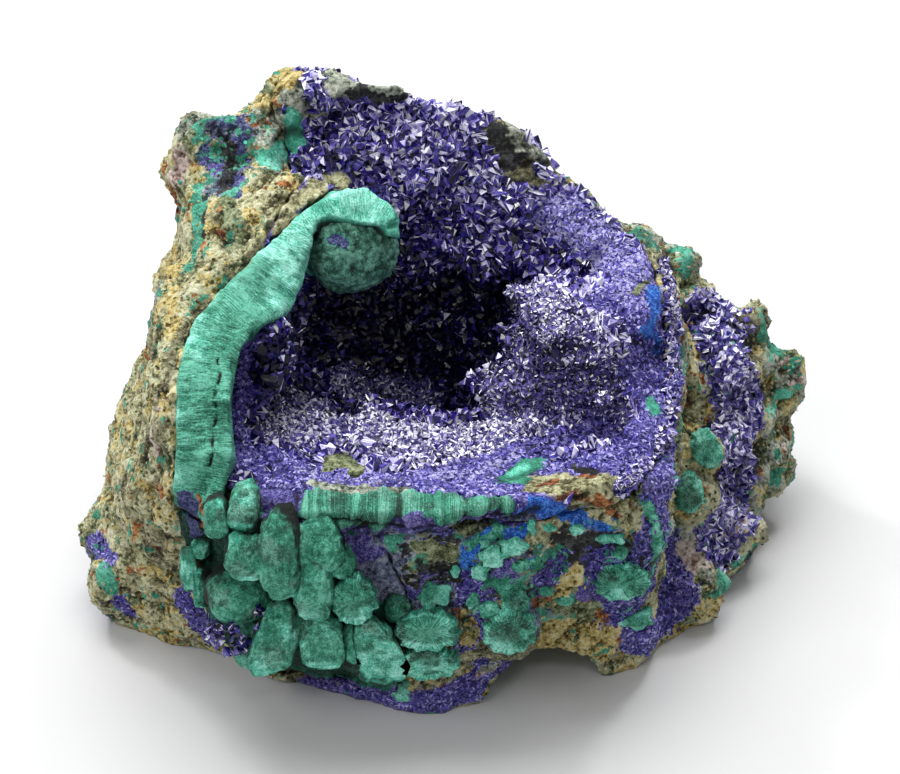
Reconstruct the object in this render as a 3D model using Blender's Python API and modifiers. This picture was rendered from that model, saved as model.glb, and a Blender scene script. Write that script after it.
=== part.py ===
"""Azurite and malachite specimen: a broken lump of iron-stained host rock with a crystal-lined hollow.

Units are metres; lengths below are written in millimetres and scaled by MM. +Z is up, the origin is the
middle of the footprint on the surface that the stone rests on, and -Y is the broken front.
"""

import math

import bmesh
import bpy
import numpy as np
from mathutils import Matrix, Vector, bvhtree, noise

MM = 0.001

# ---- driving sizes ---------------------------------------------------------------------------------------
GAP = 0.3                 # between minerals that touch, mm
STONE_VOXEL = 0.9         # detail to which the masses of the stone are fused, mm
STONE_FACES = 4800        # triangles left on the whole stone before it is parted
LINING_DEPTH = 5.0        # thickness of the azurite lining behind the hollow's face, mm
REGION_VOXEL = 1.2        # detail of the surfaces that part one mineral from the next, mm
LINING_FACES = 360        # triangles on the parting surface behind the lining
BAND_FACES = 260          # triangles on the parting surface round the malachite layer
FRONT_FACES = 90          # triangles on the parting surface behind the malachite front
CRYSTALS = 50             # larger azurite crystals that stand proud of the lining
CRYSTAL_SPACING = 4.2     # least distance between them, mm
ROCK_CLEARANCE = 3.5      # least distance from a crystal's seat to the rock, mm
MALACHITE_CLEARANCE = 5.5  # and to the malachite, mm
CRYSTAL_LENGTH = (3.4, 5.6)
CRYSTAL_WIDTH = (2.8, 4.4)
SEED = 7
BAND_DEPTH = 4.5          # how far the malachite layer runs back from its broken edge, mm
BAND_LEAD = 2.5           # how far its cutter stands in front of that edge, mm
SKIN_SINK = -0.9          # mean inward move of the weathered skin, mm
BACK_OF_BAND = Vector((0, 0.75, -0.66))

# ---- the stone's masses, each the hull of its corners (x, y, z in mm) ------------------------------------
MASSES = {
    "core": [
        (-36, -27, 0), (31, -27, 0), (38, 18, 0), (-36, 33, 0), (25, 35, 0), (-35, -26, 33), (-35, -10, 47),
        (-36, 10, 50), (-34, 25, 54), (-10, 28, 56), (16, 24, 48), (32, 18, 38), (31, -8, 37), (29, -22, 30),
        (36, 12, 20), (30, 30, 22), (-36, 33, 30),
    ],
    "front": [
        (-37, -32, 35.5), (-22, -36.5, 37.5), (-7, -38.5, 38.5), (9, -38, 38.5), (21, -35, 38.5), (33, -25, 32),
        (-34, -35.5, 20), (-3, -42, 16), (28, -33, 18),
        (-33, -32, 5), (-26, -34.5, -2), (-15, -39, -2), (-3, -42.5, -2), (3, -41, -2), (9, -37, -2), (22, -32, -2),
        (29, -32.5, -2), (-36, 5, -2), (34, 5, -2), (34, 5, 32), (-34, 5, 34),
    ],
    "left_wall": [
        (-38, -33, 34), (-38, -24, 45.5), (-37, -8, 51), (-37, 4, 51), (-42, -2, 52), (-43, -20, 43),
        (-46, -26, 29), (-48, -25, 14), (-44, -26, -2), (-51, -20, -2), (-54.5, -12, 9), (-52, 0, 17), (-48, 6, 25),
        (-45, 10, 31), (-42, 10, 43), (-48, 8, -2), (-30, -30, -2), (-30, 0, 45), (-30, 8, -2),
    ],
    "left_shoulder": [
        (-37, -8, 51), (-22, 4.5, 58), (-15, 8, 59.5), (-24, 14, 59), (-31, 16, 59.5), (-37, 4, 51),
        (-42, 10, 43), (-40.5, 16, 56), (-20, 25, 40), (-38, 25, 30), (-25, 5, 40),
    ],
    "left_peak": [
        (-38, 22, 61.5), (-42, 22, 56), (-42.5, 20, 47), (-33, 20, 60.5), (-30, 24, 62), (-30, 34, 58),
        (-40, 32, 49), (-37, 38, 25), (-43, 15, 25), (-25, 25, 40), (-25, 18, 58),
    ],
    "back_ridge": [
        (-30, 24, 62), (-22, 28, 64), (-18, 30, 65.5), (-8, 27, 64.5), (-6, 26.5, 61), (-1, 27, 62.5),
        (4, 27.5, 60), (11, 27, 56.5), (18, 24.5, 51), (25, 22, 46.5), (-25, 41, 50), (0, 42, 45),
        (20, 39, 36), (-34, 39, -2), (26, 39, -2), (0, 41, -2), (0, 43, 10), (-30, 5, 15), (20, 5, 15), (-40, 15, -2),
    ],
    "right_shoulder": [
        (17, 24, 50), (24, 22.5, 46), (37, 21, 37.5), (31, 6, 45), (34.5, -10, 38), (32.5, -22, 29.5),
        (30, -31, 12), (29, -31, -2), (40, 30, -2), (36, 28, 30), (15, 5, 15), (15, -20, -2),
    ],
    "right_flank": [
        (37, 20, 37), (42.5, 10, 36.5), (46, 18, 29.5), (50, 16, 23), (54, 13, 15), (53, 8, 9),
        (49, 2, -2), (43.5, -12.5, -2), (38, -22, -2), (29, -31, -2), (42, -6, 22), (37, -20, 10),
        (44, 27, -2), (38, 31, 20), (20, 0, -2), (25, 20, 30),
    ],
    "left_back": [
        (-44, 5, -1), (-44, 5, 27), (-41, 22, -1), (-40, 22, 46), (-37, 36, -1), (-37, 37, 28), (-30, 28, 50), (-26, 14, 2),
        (-24, 14, 50), (-38, 8, 44),
    ],
    "right_back": [
        (35, 2, -2), (43, 18, -2), (30, 33, -2), (43, 16, 24), (31, 29, 30), (29, 5, 30), (20, 30, 10),
        (48, 6, 4),
    ],
}
SHARD = [
    (-16, 27, 63), (-15, 25.5, 66), (-7, 25, 65.8), (-5, 25.5, 65), (-5.5, 27, 62.6), (-6, 31, 62.5),
    (-14, 32, 62), (-14, 25, 61.5), (-7, 26, 62),
]

# ---- rounded lumps on the outside: centre, radii (mm) -----------------------------------------------------
OUTER_LUMPS = [
    ((46.5, 16, 29), (4, 4, 4)), ((52.6, 14, 20.5), (4, 5, 5.5)), ((49, 5, 9), (5, 6, 6)), ((44, -7, 5), (5, 6, 6)),
    ((35.5, 19, 37), (4, 4, 4)), ((29, 20, 42), (3.5, 4, 3)), ((9, 25.5, 54.5), (4.5, 4, 4)),
    ((-1, 26.5, 59.5), (4, 3.5, 3.5)), ((-37, 22, 59), (5, 6, 5)), ((-40.5, 20, 53), (4, 5, 6)),
    ((-24, 29, 61.5), (6, 5, 4)), ((-17.5, 30, 62.5), (4, 4, 3)), ((-54, -12.5, 10.5), (3.5, 4, 4.5)),
    ((-50.2, -19.5, 6), (4, 5, 7)), ((-42, 12, 37), (3.5, 5, 7)), ((-41, 24, 18), (5, 8, 9)), ((37, -19, 5), (5, 6, 6)),
    ((-30, 37, 30), (8, 5, 10)), ((10, 39, 22), (11, 5, 9)), ((34, 31, 16), (8, 6, 8)), ((28, -28, 5), (4, 5, 6)),
]
# ---- the hollow, and hollows under the stone's edge ---------------------------------------------------------
HOLLOW_CUTS = {
    "main_wedge": [
        (-14, -37, 38.2), (10, -37, 38.2), (22, -33, 38), (27.5, -16, 33.5), (24, -10, 32), (0, -8, 31),
        (-14, -6, 32.5), (-13, 13, 36), (4, 16, 42), (16, 15, 42), (25, 8, 40), (-14, 10, 60), (-1, 26, 61.5),
        (11, 24, 55), (22, 17, 47), (-14, -37, 85), (26, -35, 85), (25, 10, 85), (22, 18, 85),
        (-1, 27, 85), (-14, 10, 85),
    ],
    "back_left": [
        (-22, 27, 61), (-15, 10, 40), (-1, 26, 61.5), (0, 13, 38), (-22, 27, 85), (-14, 9, 85),
        (-1, 27, 85), (0, 10, 85),
    ],
    "left_chamber": [
        (-28, -35, 38.5), (-28.5, -20, 35), (-25, -8, 32), (-20, 3, 30), (-14, 13, 33), (0, 12, 34),
        (0, -36, 38), (-28, -35, 80), (-28, -20, 80), (-24, -8, 80), (-20, 2, 80), (-14, 11, 80),
        (0, 10, 80), (0, -36, 80),
    ],
}
HOLES = [((4, 5, 28), (19, 13, 16.5)), ((-12, 2, 32), (11, 9, 8))]
UNDERCUTS = [((14, -38, 0), (8, 15, 7.6)), ((-40, -34, 1), (9, 7, 5))]

# ---- lumps inside the hollow: centre, radii ---------------------------------------------------------------
KNOBS = [
    ((19, -3, 37), (11.5, 9.5, 9)), ((12, -7.5, 34), (8.5, 6.5, 5.5)), ((25, 1, 40.5), (8.5, 9, 6.5)),
    ((15, 2, 39), (7, 7, 6.5)), ((22, -9, 35), (8, 5, 5)), ((-25.5, -11, 42.5), (3.5, 4, 6)),
]

# ---- malachite layer along the left rim: outer and inner edge of its broken face ---------------------------
BAND_STATIONS = [
    ((-38.6, -33, 33), (-33, -34.5, 30)), ((-38, -30, 40), (-29.6, -31, 40.5)),
    ((-38, -25, 45), (-30, -26, 45.5)), ((-37, -17.5, 48.5), (-29.5, -18.5, 48)),
    ((-36, -13, 50), (-26.5, -13, 50)), ((-32, -8, 52), (-22, -9, 49)),
    ((-27, -3, 54.5), (-21, -5, 52)), ((-21.5, 2, 58), (-20, -1, 55.5)),
    ((-17, 5, 60), (-15, 1, 56.5)), ((-12, 5, 60.5), (-10.5, 1, 57)), ((-8.3, 2.5, 58), (-7.7, 1, 55.5)),
]
HORN_BALLS = [((-14.5, 4.5, 51.5), (7.2, 6, 6.5)), ((-10.5, 3.5, 54), (4, 4, 4.5))]

# ---- malachite lumps on the front: centre, radii -----------------------------------------------------------
LUMPS = [
    ((-32.5, -35.9, 33.5), (2.2, 2.8, 5)), ((-27.8, -36.9, 34), (2.8, 3, 5.5)), ((-28.7, -37.9, 27.5), (3.6, 3.5, 3.8)),
    ((-30.9, -35.9, 18.5), (4.2, 4.8, 6)), ((-23.2, -38.9, 26), (3.2, 3.8, 8.5)), ((-23.6, -39.1, 13.5), (3.6, 4.2, 7)),
    ((-18, -40.1, 15.5), (3.6, 4.2, 7)), ((-17.4, -39.4, 26), (3.6, 3.5, 5.5)), ((-13, -41.7, 22.8), (3.4, 2.5, 3.8)),
    ((-11, -40.7, 12.5), (4.6, 4.6, 7)), ((-28, -35.4, 9), (3.6, 4, 4.5)), ((-1.8, -41.7, 17), (3.8, 2.8, 4)),
    ((-2.2, -41.7, 12), (3.8, 3, 3.4)), ((8.3, -40.1, 15.3), (4.8, 3, 4.8)), ((-36.5, -34.4, 21), (1.8, 2.5, 3.2)),
    ((-34.5, -34.9, 16), (1.6, 2.5, 3.4)),
]
FRONT_LAYER = [
    (-23, -38.5, 36.5), (-23, -38.5, 31), (-18, -40, 38), (-6, -41, 37.8), (7, -40.5, 38.2), (8, -40, 35.5),
    (-6, -41, 34), (-18, -40, 31), (-23, -34, 36.5), (-20, -34, 31), (8, -35, 38), (8, -35, 35.5),
]
# ---- lumps of the front right, of the right flank and of its azurite column: centre, radii ---------------
FLANK_LUMPS = [
    ((23.8, -32.8, 18.7), (4.2, 2.6, 4.2)), ((8.3, -40.8, 17.6), (5, 2.8, 4.6)), ((7.6, -37.8, 27), (5.4, 2.6, 2.6)),
    ((16.5, -34.6, 20), (5, 2.8, 3.4)), ((28.5, -28.6, 24.5), (2.6, 3, 6)), ((37.5, -6.8, 20.8), (3.6, 3.2, 4.2)),
    ((35.5, -11.8, 16.7), (3.2, 3.2, 4.2)), ((41.5, 4, 26), (4, 5, 9)), ((41.5, -2, 16), (4.4, 5, 8)),
]

# the malachite front is parted from the rock by these hulls
FRONT_REGIONS = [
    [(-38.5, -50, 35), (-38.5, -31, 35), (-38.5, -50, 3), (-38.5, -29, 3), (-13.5, -50, 37.5), (-13.5, -34.5, 37.5),
     (-7, -50, 3), (-7, -35, 3), (-6, -50, 22), (-6, -36, 22)],
    [(-24, -50, 38.6), (-24, -34, 38.6), (9, -50, 38.6), (9, -35, 38.6), (-24, -50, 31), (-24, -34, 31),
     (9, -50, 34), (9, -35, 34)],
]


def clear_scene():
    for old in list(bpy.data.objects):
        bpy.data.objects.remove(old)


def collection_of(name):
    made = bpy.data.collections.new(name)
    bpy.context.scene.collection.children.link(made)
    return made


def object_of(name, bm, where):
    mesh = bpy.data.meshes.new(name)
    bm.to_mesh(mesh)
    bm.free()
    made = bpy.data.objects.new(name, mesh)
    where.objects.link(made)
    return made


def copy_of(obj, name, where):
    made = bpy.data.objects.new(name, obj.data.copy())
    where.objects.link(made)
    return made


def add_hull(bm, corners):
    """Adds the hull of these corners (mm) to bm."""
    verts = [bm.verts.new(Vector(c) * MM) for c in corners]
    found = bmesh.ops.convex_hull(bm, input=verts)
    spare = {g for g in found["geom_interior"] + found["geom_unused"] if isinstance(g, bmesh.types.BMVert)}
    bmesh.ops.delete(bm, geom=list(spare), context="VERTS")


def add_ball(bm, centre, radii, grow=0.0, detail=3):
    sides = [(r + grow) * MM for r in radii]
    place = Matrix.Translation(Vector(centre) * MM) @ Matrix.Diagonal((*sides, 1))
    bmesh.ops.create_icosphere(bm, subdivisions=detail, radius=1, matrix=place)


def evaluated_mesh(obj):
    bpy.context.view_layer.update()
    graph = bpy.context.evaluated_depsgraph_get()
    return bpy.data.meshes.new_from_object(obj.evaluated_get(graph))


def settle(obj):
    """Applies an object's modifiers to its mesh."""
    made = evaluated_mesh(obj)
    obj.modifiers.clear()
    old, obj.data = obj.data, made
    bpy.data.meshes.remove(old)
    return obj


def fused(obj, rounds, voxel=STONE_VOXEL):
    """Makes overlapping closed shapes one body and softens its corners."""
    remesh = obj.modifiers.new("fuse", "REMESH")
    remesh.mode = "VOXEL"
    remesh.voxel_size = voxel * MM
    if rounds:
        smooth = obj.modifiers.new("soften", "SMOOTH")
        smooth.iterations = rounds
        smooth.factor = 0.5
    return settle(obj)


def boolean(obj, cutter, operation):
    cut = obj.modifiers.new(operation.lower(), "BOOLEAN")
    cut.operation = operation
    cut.solver = "EXACT"
    cut.object = cutter
    return settle(obj)


def triangles(mesh):
    return sum(len(p.vertices) - 2 for p in mesh.polygons)


def thinned(obj, faces):
    cut = obj.modifiers.new("thin", "DECIMATE")
    cut.ratio = min(1.0, faces / triangles(obj.data))
    return settle(obj)


def grown(obj, name, distance, where):
    """A copy of a closed body with its skin moved out by this distance (mm)."""
    made = copy_of(obj, name, where)
    push = made.modifiers.new("grow", "DISPLACE")
    push.mid_level = 0
    push.strength = distance * MM
    return settle(made)


def main_body(obj):
    """Keeps the largest of an object's separate bodies."""
    bm = bmesh.new()
    bm.from_mesh(obj.data)
    todo, bodies = set(bm.verts), []
    while todo:
        seed = todo.pop()
        found, front = {seed}, [seed]
        while front:
            for edge in front.pop().link_edges:
                for vert in edge.verts:
                    if vert in todo:
                        todo.discard(vert)
                        found.add(vert)
                        front.append(vert)
        bodies.append(found)
    bodies.sort(key=len)
    spare = [v for body in bodies[:-1] for v in body]
    bmesh.ops.delete(bm, geom=spare, context="VERTS")
    bm.to_mesh(obj.data)
    bm.free()
    return obj


# ---- the stone ---------------------------------------------------------------------------------------------
def add_band(bm, lead, depth, grow=0.0):
    """The malachite layer as a chain of hulls, from lead in front of its broken face to depth behind it."""
    for (a, b), (c, d) in zip(BAND_STATIONS, BAND_STATIONS[1:]):
        face = [Vector(p) for p in (a, b, c, d)]
        add_hull(bm, [p - BACK_OF_BAND * lead for p in face] + [p + BACK_OF_BAND * depth for p in face])
    for centre, radii in HORN_BALLS:
        add_ball(bm, centre, radii, grow)


def hollow_cutter(where):
    bm = bmesh.new()
    for corners in HOLLOW_CUTS.values():
        add_hull(bm, corners)
    for ball in HOLES:
        add_ball(bm, *ball)
    return fused(object_of("hollow", bm, where), 8)


def undercut_cutter(where):
    bm = bmesh.new()
    for ball in UNDERCUTS:
        add_ball(bm, *ball)
    return fused(object_of("undercuts", bm, where), 0)


def near_ball(point, balls, reach):
    """1 inside any of these balls, falling to 0 at reach times their size."""
    best = 9.0
    for centre, radii in balls:
        best = min(best, math.hypot(*((p - c) / r for p, c, r in zip(point, centre, radii))))
    return max(0.0, min(1.0, (reach - best) / (reach - 1)))


def near_band(point):
    """1 on the malachite layer, falling to 0 a few millimetres from it."""
    best = 99.0
    for a, b in BAND_STATIONS:
        middle = (Vector(a) + Vector(b)) / 2
        best = min(best, (Vector(point) - middle).length)
    return max(0.0, min(1.0, (8 - best) / 3))


def roughness_at(point):
    """How far the weathered skin stands in or out here (mm)."""
    where = Vector(point)
    broad = noise.fractal(where / 11, 0.9, 2.1, 3)
    blocks = noise.turbulence(where / 5 + Vector((7, 3, 1)), 2, True) - 0.55
    calm = max(near_ball(point, LUMPS + HORN_BALLS + FLANK_LUMPS[:7], 1.4), near_band(point))
    inside = near_ball(point, KNOBS, 1.5)
    return (SKIN_SINK + 1.5 * broad + 1.3 * blocks) * (1 - 0.85 * calm) * (1 - 0.3 * inside)


def roughened(obj):
    mesh = obj.data
    for vert in [(v, v.normal.copy()) for v in mesh.vertices]:
        point, normal = vert
        point.co += normal * (roughness_at(point.co / MM) * MM)
    return obj


def whole_stone(specimen, cutters):
    bm = bmesh.new()
    for corners in MASSES.values():
        add_hull(bm, corners)
    for ball in OUTER_LUMPS:
        add_ball(bm, *ball)
    stone = fused(object_of("host_rock", bm, specimen), 3)
    hollow = hollow_cutter(cutters)
    boolean(stone, hollow, "DIFFERENCE")
    boolean(stone, undercut_cutter(cutters), "DIFFERENCE")
    bm = bmesh.new()
    bm.from_mesh(stone.data)
    for ball in KNOBS + LUMPS + FLANK_LUMPS:
        add_ball(bm, *ball)
    add_band(bm, 0, BAND_DEPTH)
    for corners in (FRONT_LAYER, SHARD):
        add_hull(bm, corners)
    bm.to_mesh(stone.data)
    bm.free()
    fused(stone, 1)
    fused(roughened(stone), 1)
    main_body(stone)
    return thinned(stone, STONE_FACES), hollow


# ---- parting the stone into its minerals ---------------------------------------------------------------------
def region(name, bm, faces, cutters):
    """A closed, lightly faceted body that one mineral lies inside, and the same body one gap larger."""
    inner = thinned(fused(object_of(name, bm, cutters), 1, REGION_VOXEL), faces)
    return inner, grown(inner, name + "_and_gap", GAP, cutters)


def lining_region(hollow, cutters):
    deep = grown(hollow, "lining_depth", LINING_DEPTH, cutters)
    bm = bmesh.new()
    bm.from_mesh(deep.data)
    return region("lining_region", bm, LINING_FACES, cutters)


def band_region(cutters):
    bm = bmesh.new()
    add_band(bm, BAND_LEAD, BAND_DEPTH - 0.3, 1.2)
    return region("band_region", bm, BAND_FACES, cutters)


def front_region(cutters):
    bm = bmesh.new()
    for corners in FRONT_REGIONS:
        add_hull(bm, corners)
    return region("front_region", bm, FRONT_FACES, cutters)


def parted(stone, name, limits, where, cutters):
    """Takes the part of the stone inside these limits out of it as a body of its own."""
    inner, with_gap = limits
    piece = main_body(boolean(copy_of(stone, name, where), inner, "INTERSECT"))
    boolean(stone, inner, "DIFFERENCE")
    main_body(boolean(stone, with_gap, "DIFFERENCE"))
    return piece


# ---- crystals --------------------------------------------------------------------------------------------------
def add_crystal(bm, place, width, length):
    """A four-sided prism with a chisel tip, half sunk in the lining."""
    a, b = width / 2 * MM, width / 3 * MM
    low, shoulder, tip = -0.4 * length * MM, 0.35 * length * MM, 0.6 * length * MM
    shape = [(a, 0, low), (0, b, low), (-a, 0, low), (0, -b, low)]
    shape += [(a, 0, shoulder), (0, b, shoulder), (-a, 0, shoulder), (0, -b, shoulder)]
    shape += [(a * 0.5, 0, tip), (-a * 0.5, 0, tip)]
    verts = [bm.verts.new(place @ Vector(p)) for p in shape]
    bmesh.ops.convex_hull(bm, input=verts)


def tree_of(obj):
    mesh = obj.data
    return bvhtree.BVHTree.FromPolygons([v.co for v in mesh.vertices], [p.vertices for p in mesh.polygons])


def crystal_seats(lining, rock, malachite, random):
    """Places spread over the open face of the lining, clear of the minerals round it."""
    to_rock, to_malachite = tree_of(rock), [tree_of(obj) for obj in malachite]
    faces = lining.data.polygons
    areas = np.array([p.area for p in faces])
    seats = []
    for pick in random.choice(len(faces), size=CRYSTALS * 40, p=areas / areas.sum()):
        centre = faces[pick].center
        clear = [to_rock.find_nearest(centre)[3] > ROCK_CLEARANCE * MM]
        clear += [tree.find_nearest(centre)[3] > MALACHITE_CLEARANCE * MM for tree in to_malachite]
        clear += [(centre - seat[0]).length > CRYSTAL_SPACING * MM for seat in seats]
        if all(clear) and len(seats) < CRYSTALS:
            seats.append((centre.copy(), faces[pick].normal.copy()))
    return seats


def add_crystals(lining, rock, malachite, cutters):
    random = np.random.default_rng(SEED)
    bm = bmesh.new()
    for point, normal in crystal_seats(lining, rock, malachite, random):
        lean = Vector(random.uniform(-0.45, 0.45, 3))
        turn = Matrix.Rotation(random.uniform(0, math.tau), 4, "Z")
        place = Matrix.Translation(point) @ (normal + lean).to_track_quat("Z", "Y").to_matrix().to_4x4() @ turn
        add_crystal(bm, place, random.uniform(*CRYSTAL_WIDTH), random.uniform(*CRYSTAL_LENGTH))
    return boolean(lining, object_of("crystals", bm, cutters), "UNION")


# ---- finish ----------------------------------------------------------------------------------------------------
MATERIALS = {
    "host_rock": ((0.25, 0.21, 0.12), 0.9),
    "azurite_crust": ((0.05, 0.04, 0.22), 0.3),
    "malachite_band": ((0.05, 0.30, 0.20), 0.6),
    "malachite_front": ((0.04, 0.24, 0.16), 0.65),
}


def painted(obj):
    colour, roughness = MATERIALS[obj.name]
    made = bpy.data.materials.new(obj.name)
    made.use_nodes = True
    shader = made.node_tree.nodes["Principled BSDF"]
    shader.inputs["Base Color"].default_value = (*colour, 1)
    shader.inputs["Roughness"].default_value = roughness
    shader.inputs["Metallic"].default_value = 0
    obj.data.materials.clear()
    obj.data.materials.append(made)


def cut_base(stone, cutters):
    """Cuts the stone flat where it rests."""
    bm = bmesh.new()
    place = Matrix.Translation((0, 0, -20 * MM)) @ Matrix.Diagonal((200 * MM, 200 * MM, 40 * MM, 1))
    bmesh.ops.create_cube(bm, size=1, matrix=place)
    return main_body(boolean(stone, object_of("below_base", bm, cutters), "DIFFERENCE"))


def centre_on_base(pieces):
    """Puts the origin at the middle of the footprint, on the resting face."""
    corners = np.array([v.co for piece in pieces for v in piece.data.vertices])
    low, high = corners.min(axis=0), corners.max(axis=0)
    shift = Vector((-(low[0] + high[0]) / 2, -(low[1] + high[1]) / 2, -low[2]))
    for piece in pieces:
        piece.data.transform(Matrix.Translation(shift))


def main():
    clear_scene()
    specimen = collection_of("azurite_specimen")
    cutters = collection_of("cutters")
    host, hollow = whole_stone(specimen, cutters)
    cut_base(host, cutters)
    band = parted(host, "malachite_band", band_region(cutters), specimen, cutters)
    front = parted(host, "malachite_front", front_region(cutters), specimen, cutters)
    lining = parted(host, "azurite_crust", lining_region(hollow, cutters), specimen, cutters)
    add_crystals(lining, host, [band, front], cutters)
    pieces = [host, lining, band, front]
    for piece in pieces:
        painted(piece)
    centre_on_base(pieces)
    for helper in cutters.objects:
        helper.hide_render = True
        helper.display_type = "WIRE"


main()
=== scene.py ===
import math

import bmesh
import bpy
import numpy as np
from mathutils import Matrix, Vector, bvhtree


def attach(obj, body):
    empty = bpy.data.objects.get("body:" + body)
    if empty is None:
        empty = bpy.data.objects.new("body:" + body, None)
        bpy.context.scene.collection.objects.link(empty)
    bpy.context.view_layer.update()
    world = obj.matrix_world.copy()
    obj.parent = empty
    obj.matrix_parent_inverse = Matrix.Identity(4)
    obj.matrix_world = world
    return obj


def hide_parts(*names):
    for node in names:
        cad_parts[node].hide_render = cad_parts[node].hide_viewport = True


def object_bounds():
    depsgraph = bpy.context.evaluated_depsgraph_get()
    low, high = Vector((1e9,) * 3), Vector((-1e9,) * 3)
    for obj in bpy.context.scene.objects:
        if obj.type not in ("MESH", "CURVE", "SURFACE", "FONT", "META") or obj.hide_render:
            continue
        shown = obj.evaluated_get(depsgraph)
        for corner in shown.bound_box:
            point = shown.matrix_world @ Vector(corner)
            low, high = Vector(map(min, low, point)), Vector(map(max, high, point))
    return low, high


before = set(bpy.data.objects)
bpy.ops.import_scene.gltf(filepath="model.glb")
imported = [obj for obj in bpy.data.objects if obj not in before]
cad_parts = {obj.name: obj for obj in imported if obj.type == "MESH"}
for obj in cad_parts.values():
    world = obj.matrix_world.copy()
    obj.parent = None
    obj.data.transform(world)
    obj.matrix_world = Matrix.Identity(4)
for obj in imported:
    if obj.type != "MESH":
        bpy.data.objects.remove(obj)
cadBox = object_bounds()
mm = 0.001

coarser = {"grain": 1, "spacing": 1}

# the camera: target, distance and sensor in mm, elevation in degrees, focal length and frame in pixels
view = {
    "target": (0.73, 0.94, 28.0), "distance": 450.0, "elevation": 38.0,
    "focal": 3028.5, "width": 900, "height": 774, "sensor": 36, "clip": (0.01, 10),
}


def newObject(name, data):
    obj = bpy.data.objects.new(name, data)
    bpy.context.scene.collection.objects.link(obj)
    return obj


def meshOf(name, bm):
    data = bpy.data.meshes.new(name)
    bm.to_mesh(data)
    bm.free()
    return data


def makeCamera():
    tilt = math.radians(view["elevation"])
    back = Vector((0, -math.cos(tilt), math.sin(tilt)))
    data = bpy.data.cameras.new("viewCamera")
    data.sensor_width = view["sensor"]
    data.lens = view["sensor"] * view["focal"] / view["width"]
    data.clip_start, data.clip_end = view["clip"]
    camera = newObject("viewCamera", data)
    camera.location = (Vector(view["target"]) + back * view["distance"]) * mm
    camera.rotation_euler = (math.pi / 2 - tilt, 0, 0)
    bpy.context.scene.camera = camera
    return camera.location.copy()


eye = makeCamera()
print("camera set")


# noise that repeats each run, for arrays of points in mm
def hashed(cells, seed):
    n = cells[..., 0] * 73856093 ^ cells[..., 1] * 19349663 ^ cells[..., 2] * 83492791 ^ (seed * 7919 + 17)
    n = (n ^ (n >> 13)) * 1274126177
    n = (n ^ (n >> 16)) * 668265263
    n = n ^ (n >> 15)
    return (n & 0xFFFFF) / 0xFFFFF


def smoothNoise(points, size, seed):
    p = points / size
    cell = np.floor(p).astype(np.int64)
    f = p - cell
    f = f * f * f * (f * (f * 6 - 15) + 10)
    total = np.zeros(len(p))
    for corner in np.ndindex(2, 2, 2):
        weight = np.prod(np.where(np.array(corner), f, 1 - f), axis=1)
        total += weight * hashed(cell + np.array(corner), seed)
    return total * 2 - 1


def fractal(points, size, seed, octaves=4, fall=0.5):
    total, reach = np.zeros(len(points)), 0
    for k in range(octaves):
        total += fall ** k * smoothNoise(points, size / 2 ** k, seed + k * 31)
        reach += fall ** k
    return total / reach * 1.6


def warped(points, size, seed, amount):
    return points + amount * np.stack([fractal(points, size, seed + k, 3) for k in range(3)], axis=1)


def cellNoise(points, size, seed):
    # distance to the nearest and second nearest scattered centre, in cells, and the nearest one's own number
    p = points / size
    cell = np.floor(p).astype(np.int64)
    near = np.full(len(p), 9.0)
    second = np.full(len(p), 9.0)
    own = np.zeros(len(p))
    for step in np.ndindex(3, 3, 3):
        c = cell + np.array(step) - 1
        centre = c + np.stack([hashed(c, seed + k) for k in range(3)], axis=1)
        d = np.linalg.norm(p - centre, axis=1)
        closer = d < near
        second = np.where(closer, near, np.minimum(second, d))
        own = np.where(closer, hashed(c, seed + 9), own)
        near = np.where(closer, d, near)
    return near, second, own


def ramp(x, low, high):
    t = np.clip((x - low) / (high - low), 0, 1)
    return t * t * (3 - 2 * t)


# places on the stone
def treeOf(objs):
    verts, faces = [], []
    for obj in objs:
        start = len(verts)
        verts += [v.co for v in obj.data.vertices]
        faces += [[start + i for i in p.vertices] for p in obj.data.polygons]
    return bvhtree.BVHTree.FromPolygons(verts, faces)


stoneTree = treeOf(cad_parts.values())


def rayThrough(u, v):
    tilt = math.radians(view["elevation"])
    a, b = (u - view["width"] / 2) / view["focal"], (view["height"] / 2 - v) / view["focal"]
    return Vector((a, math.cos(tilt) + b * math.sin(tilt), -math.sin(tilt) + b * math.cos(tilt))).normalized()


def seatAt(u, v):
    # the place on the stone behind this point of the frame, in mm, and the normal there
    point, normal = stoneTree.ray_cast(eye, rayThrough(u, v))[:2]
    return (None, None) if point is None else (np.array(point) / mm, np.array(normal))


def seatsAt(pixels):
    return [p for p in (seatAt(u, v)[0] for u, v in pixels) if p is not None]


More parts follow.
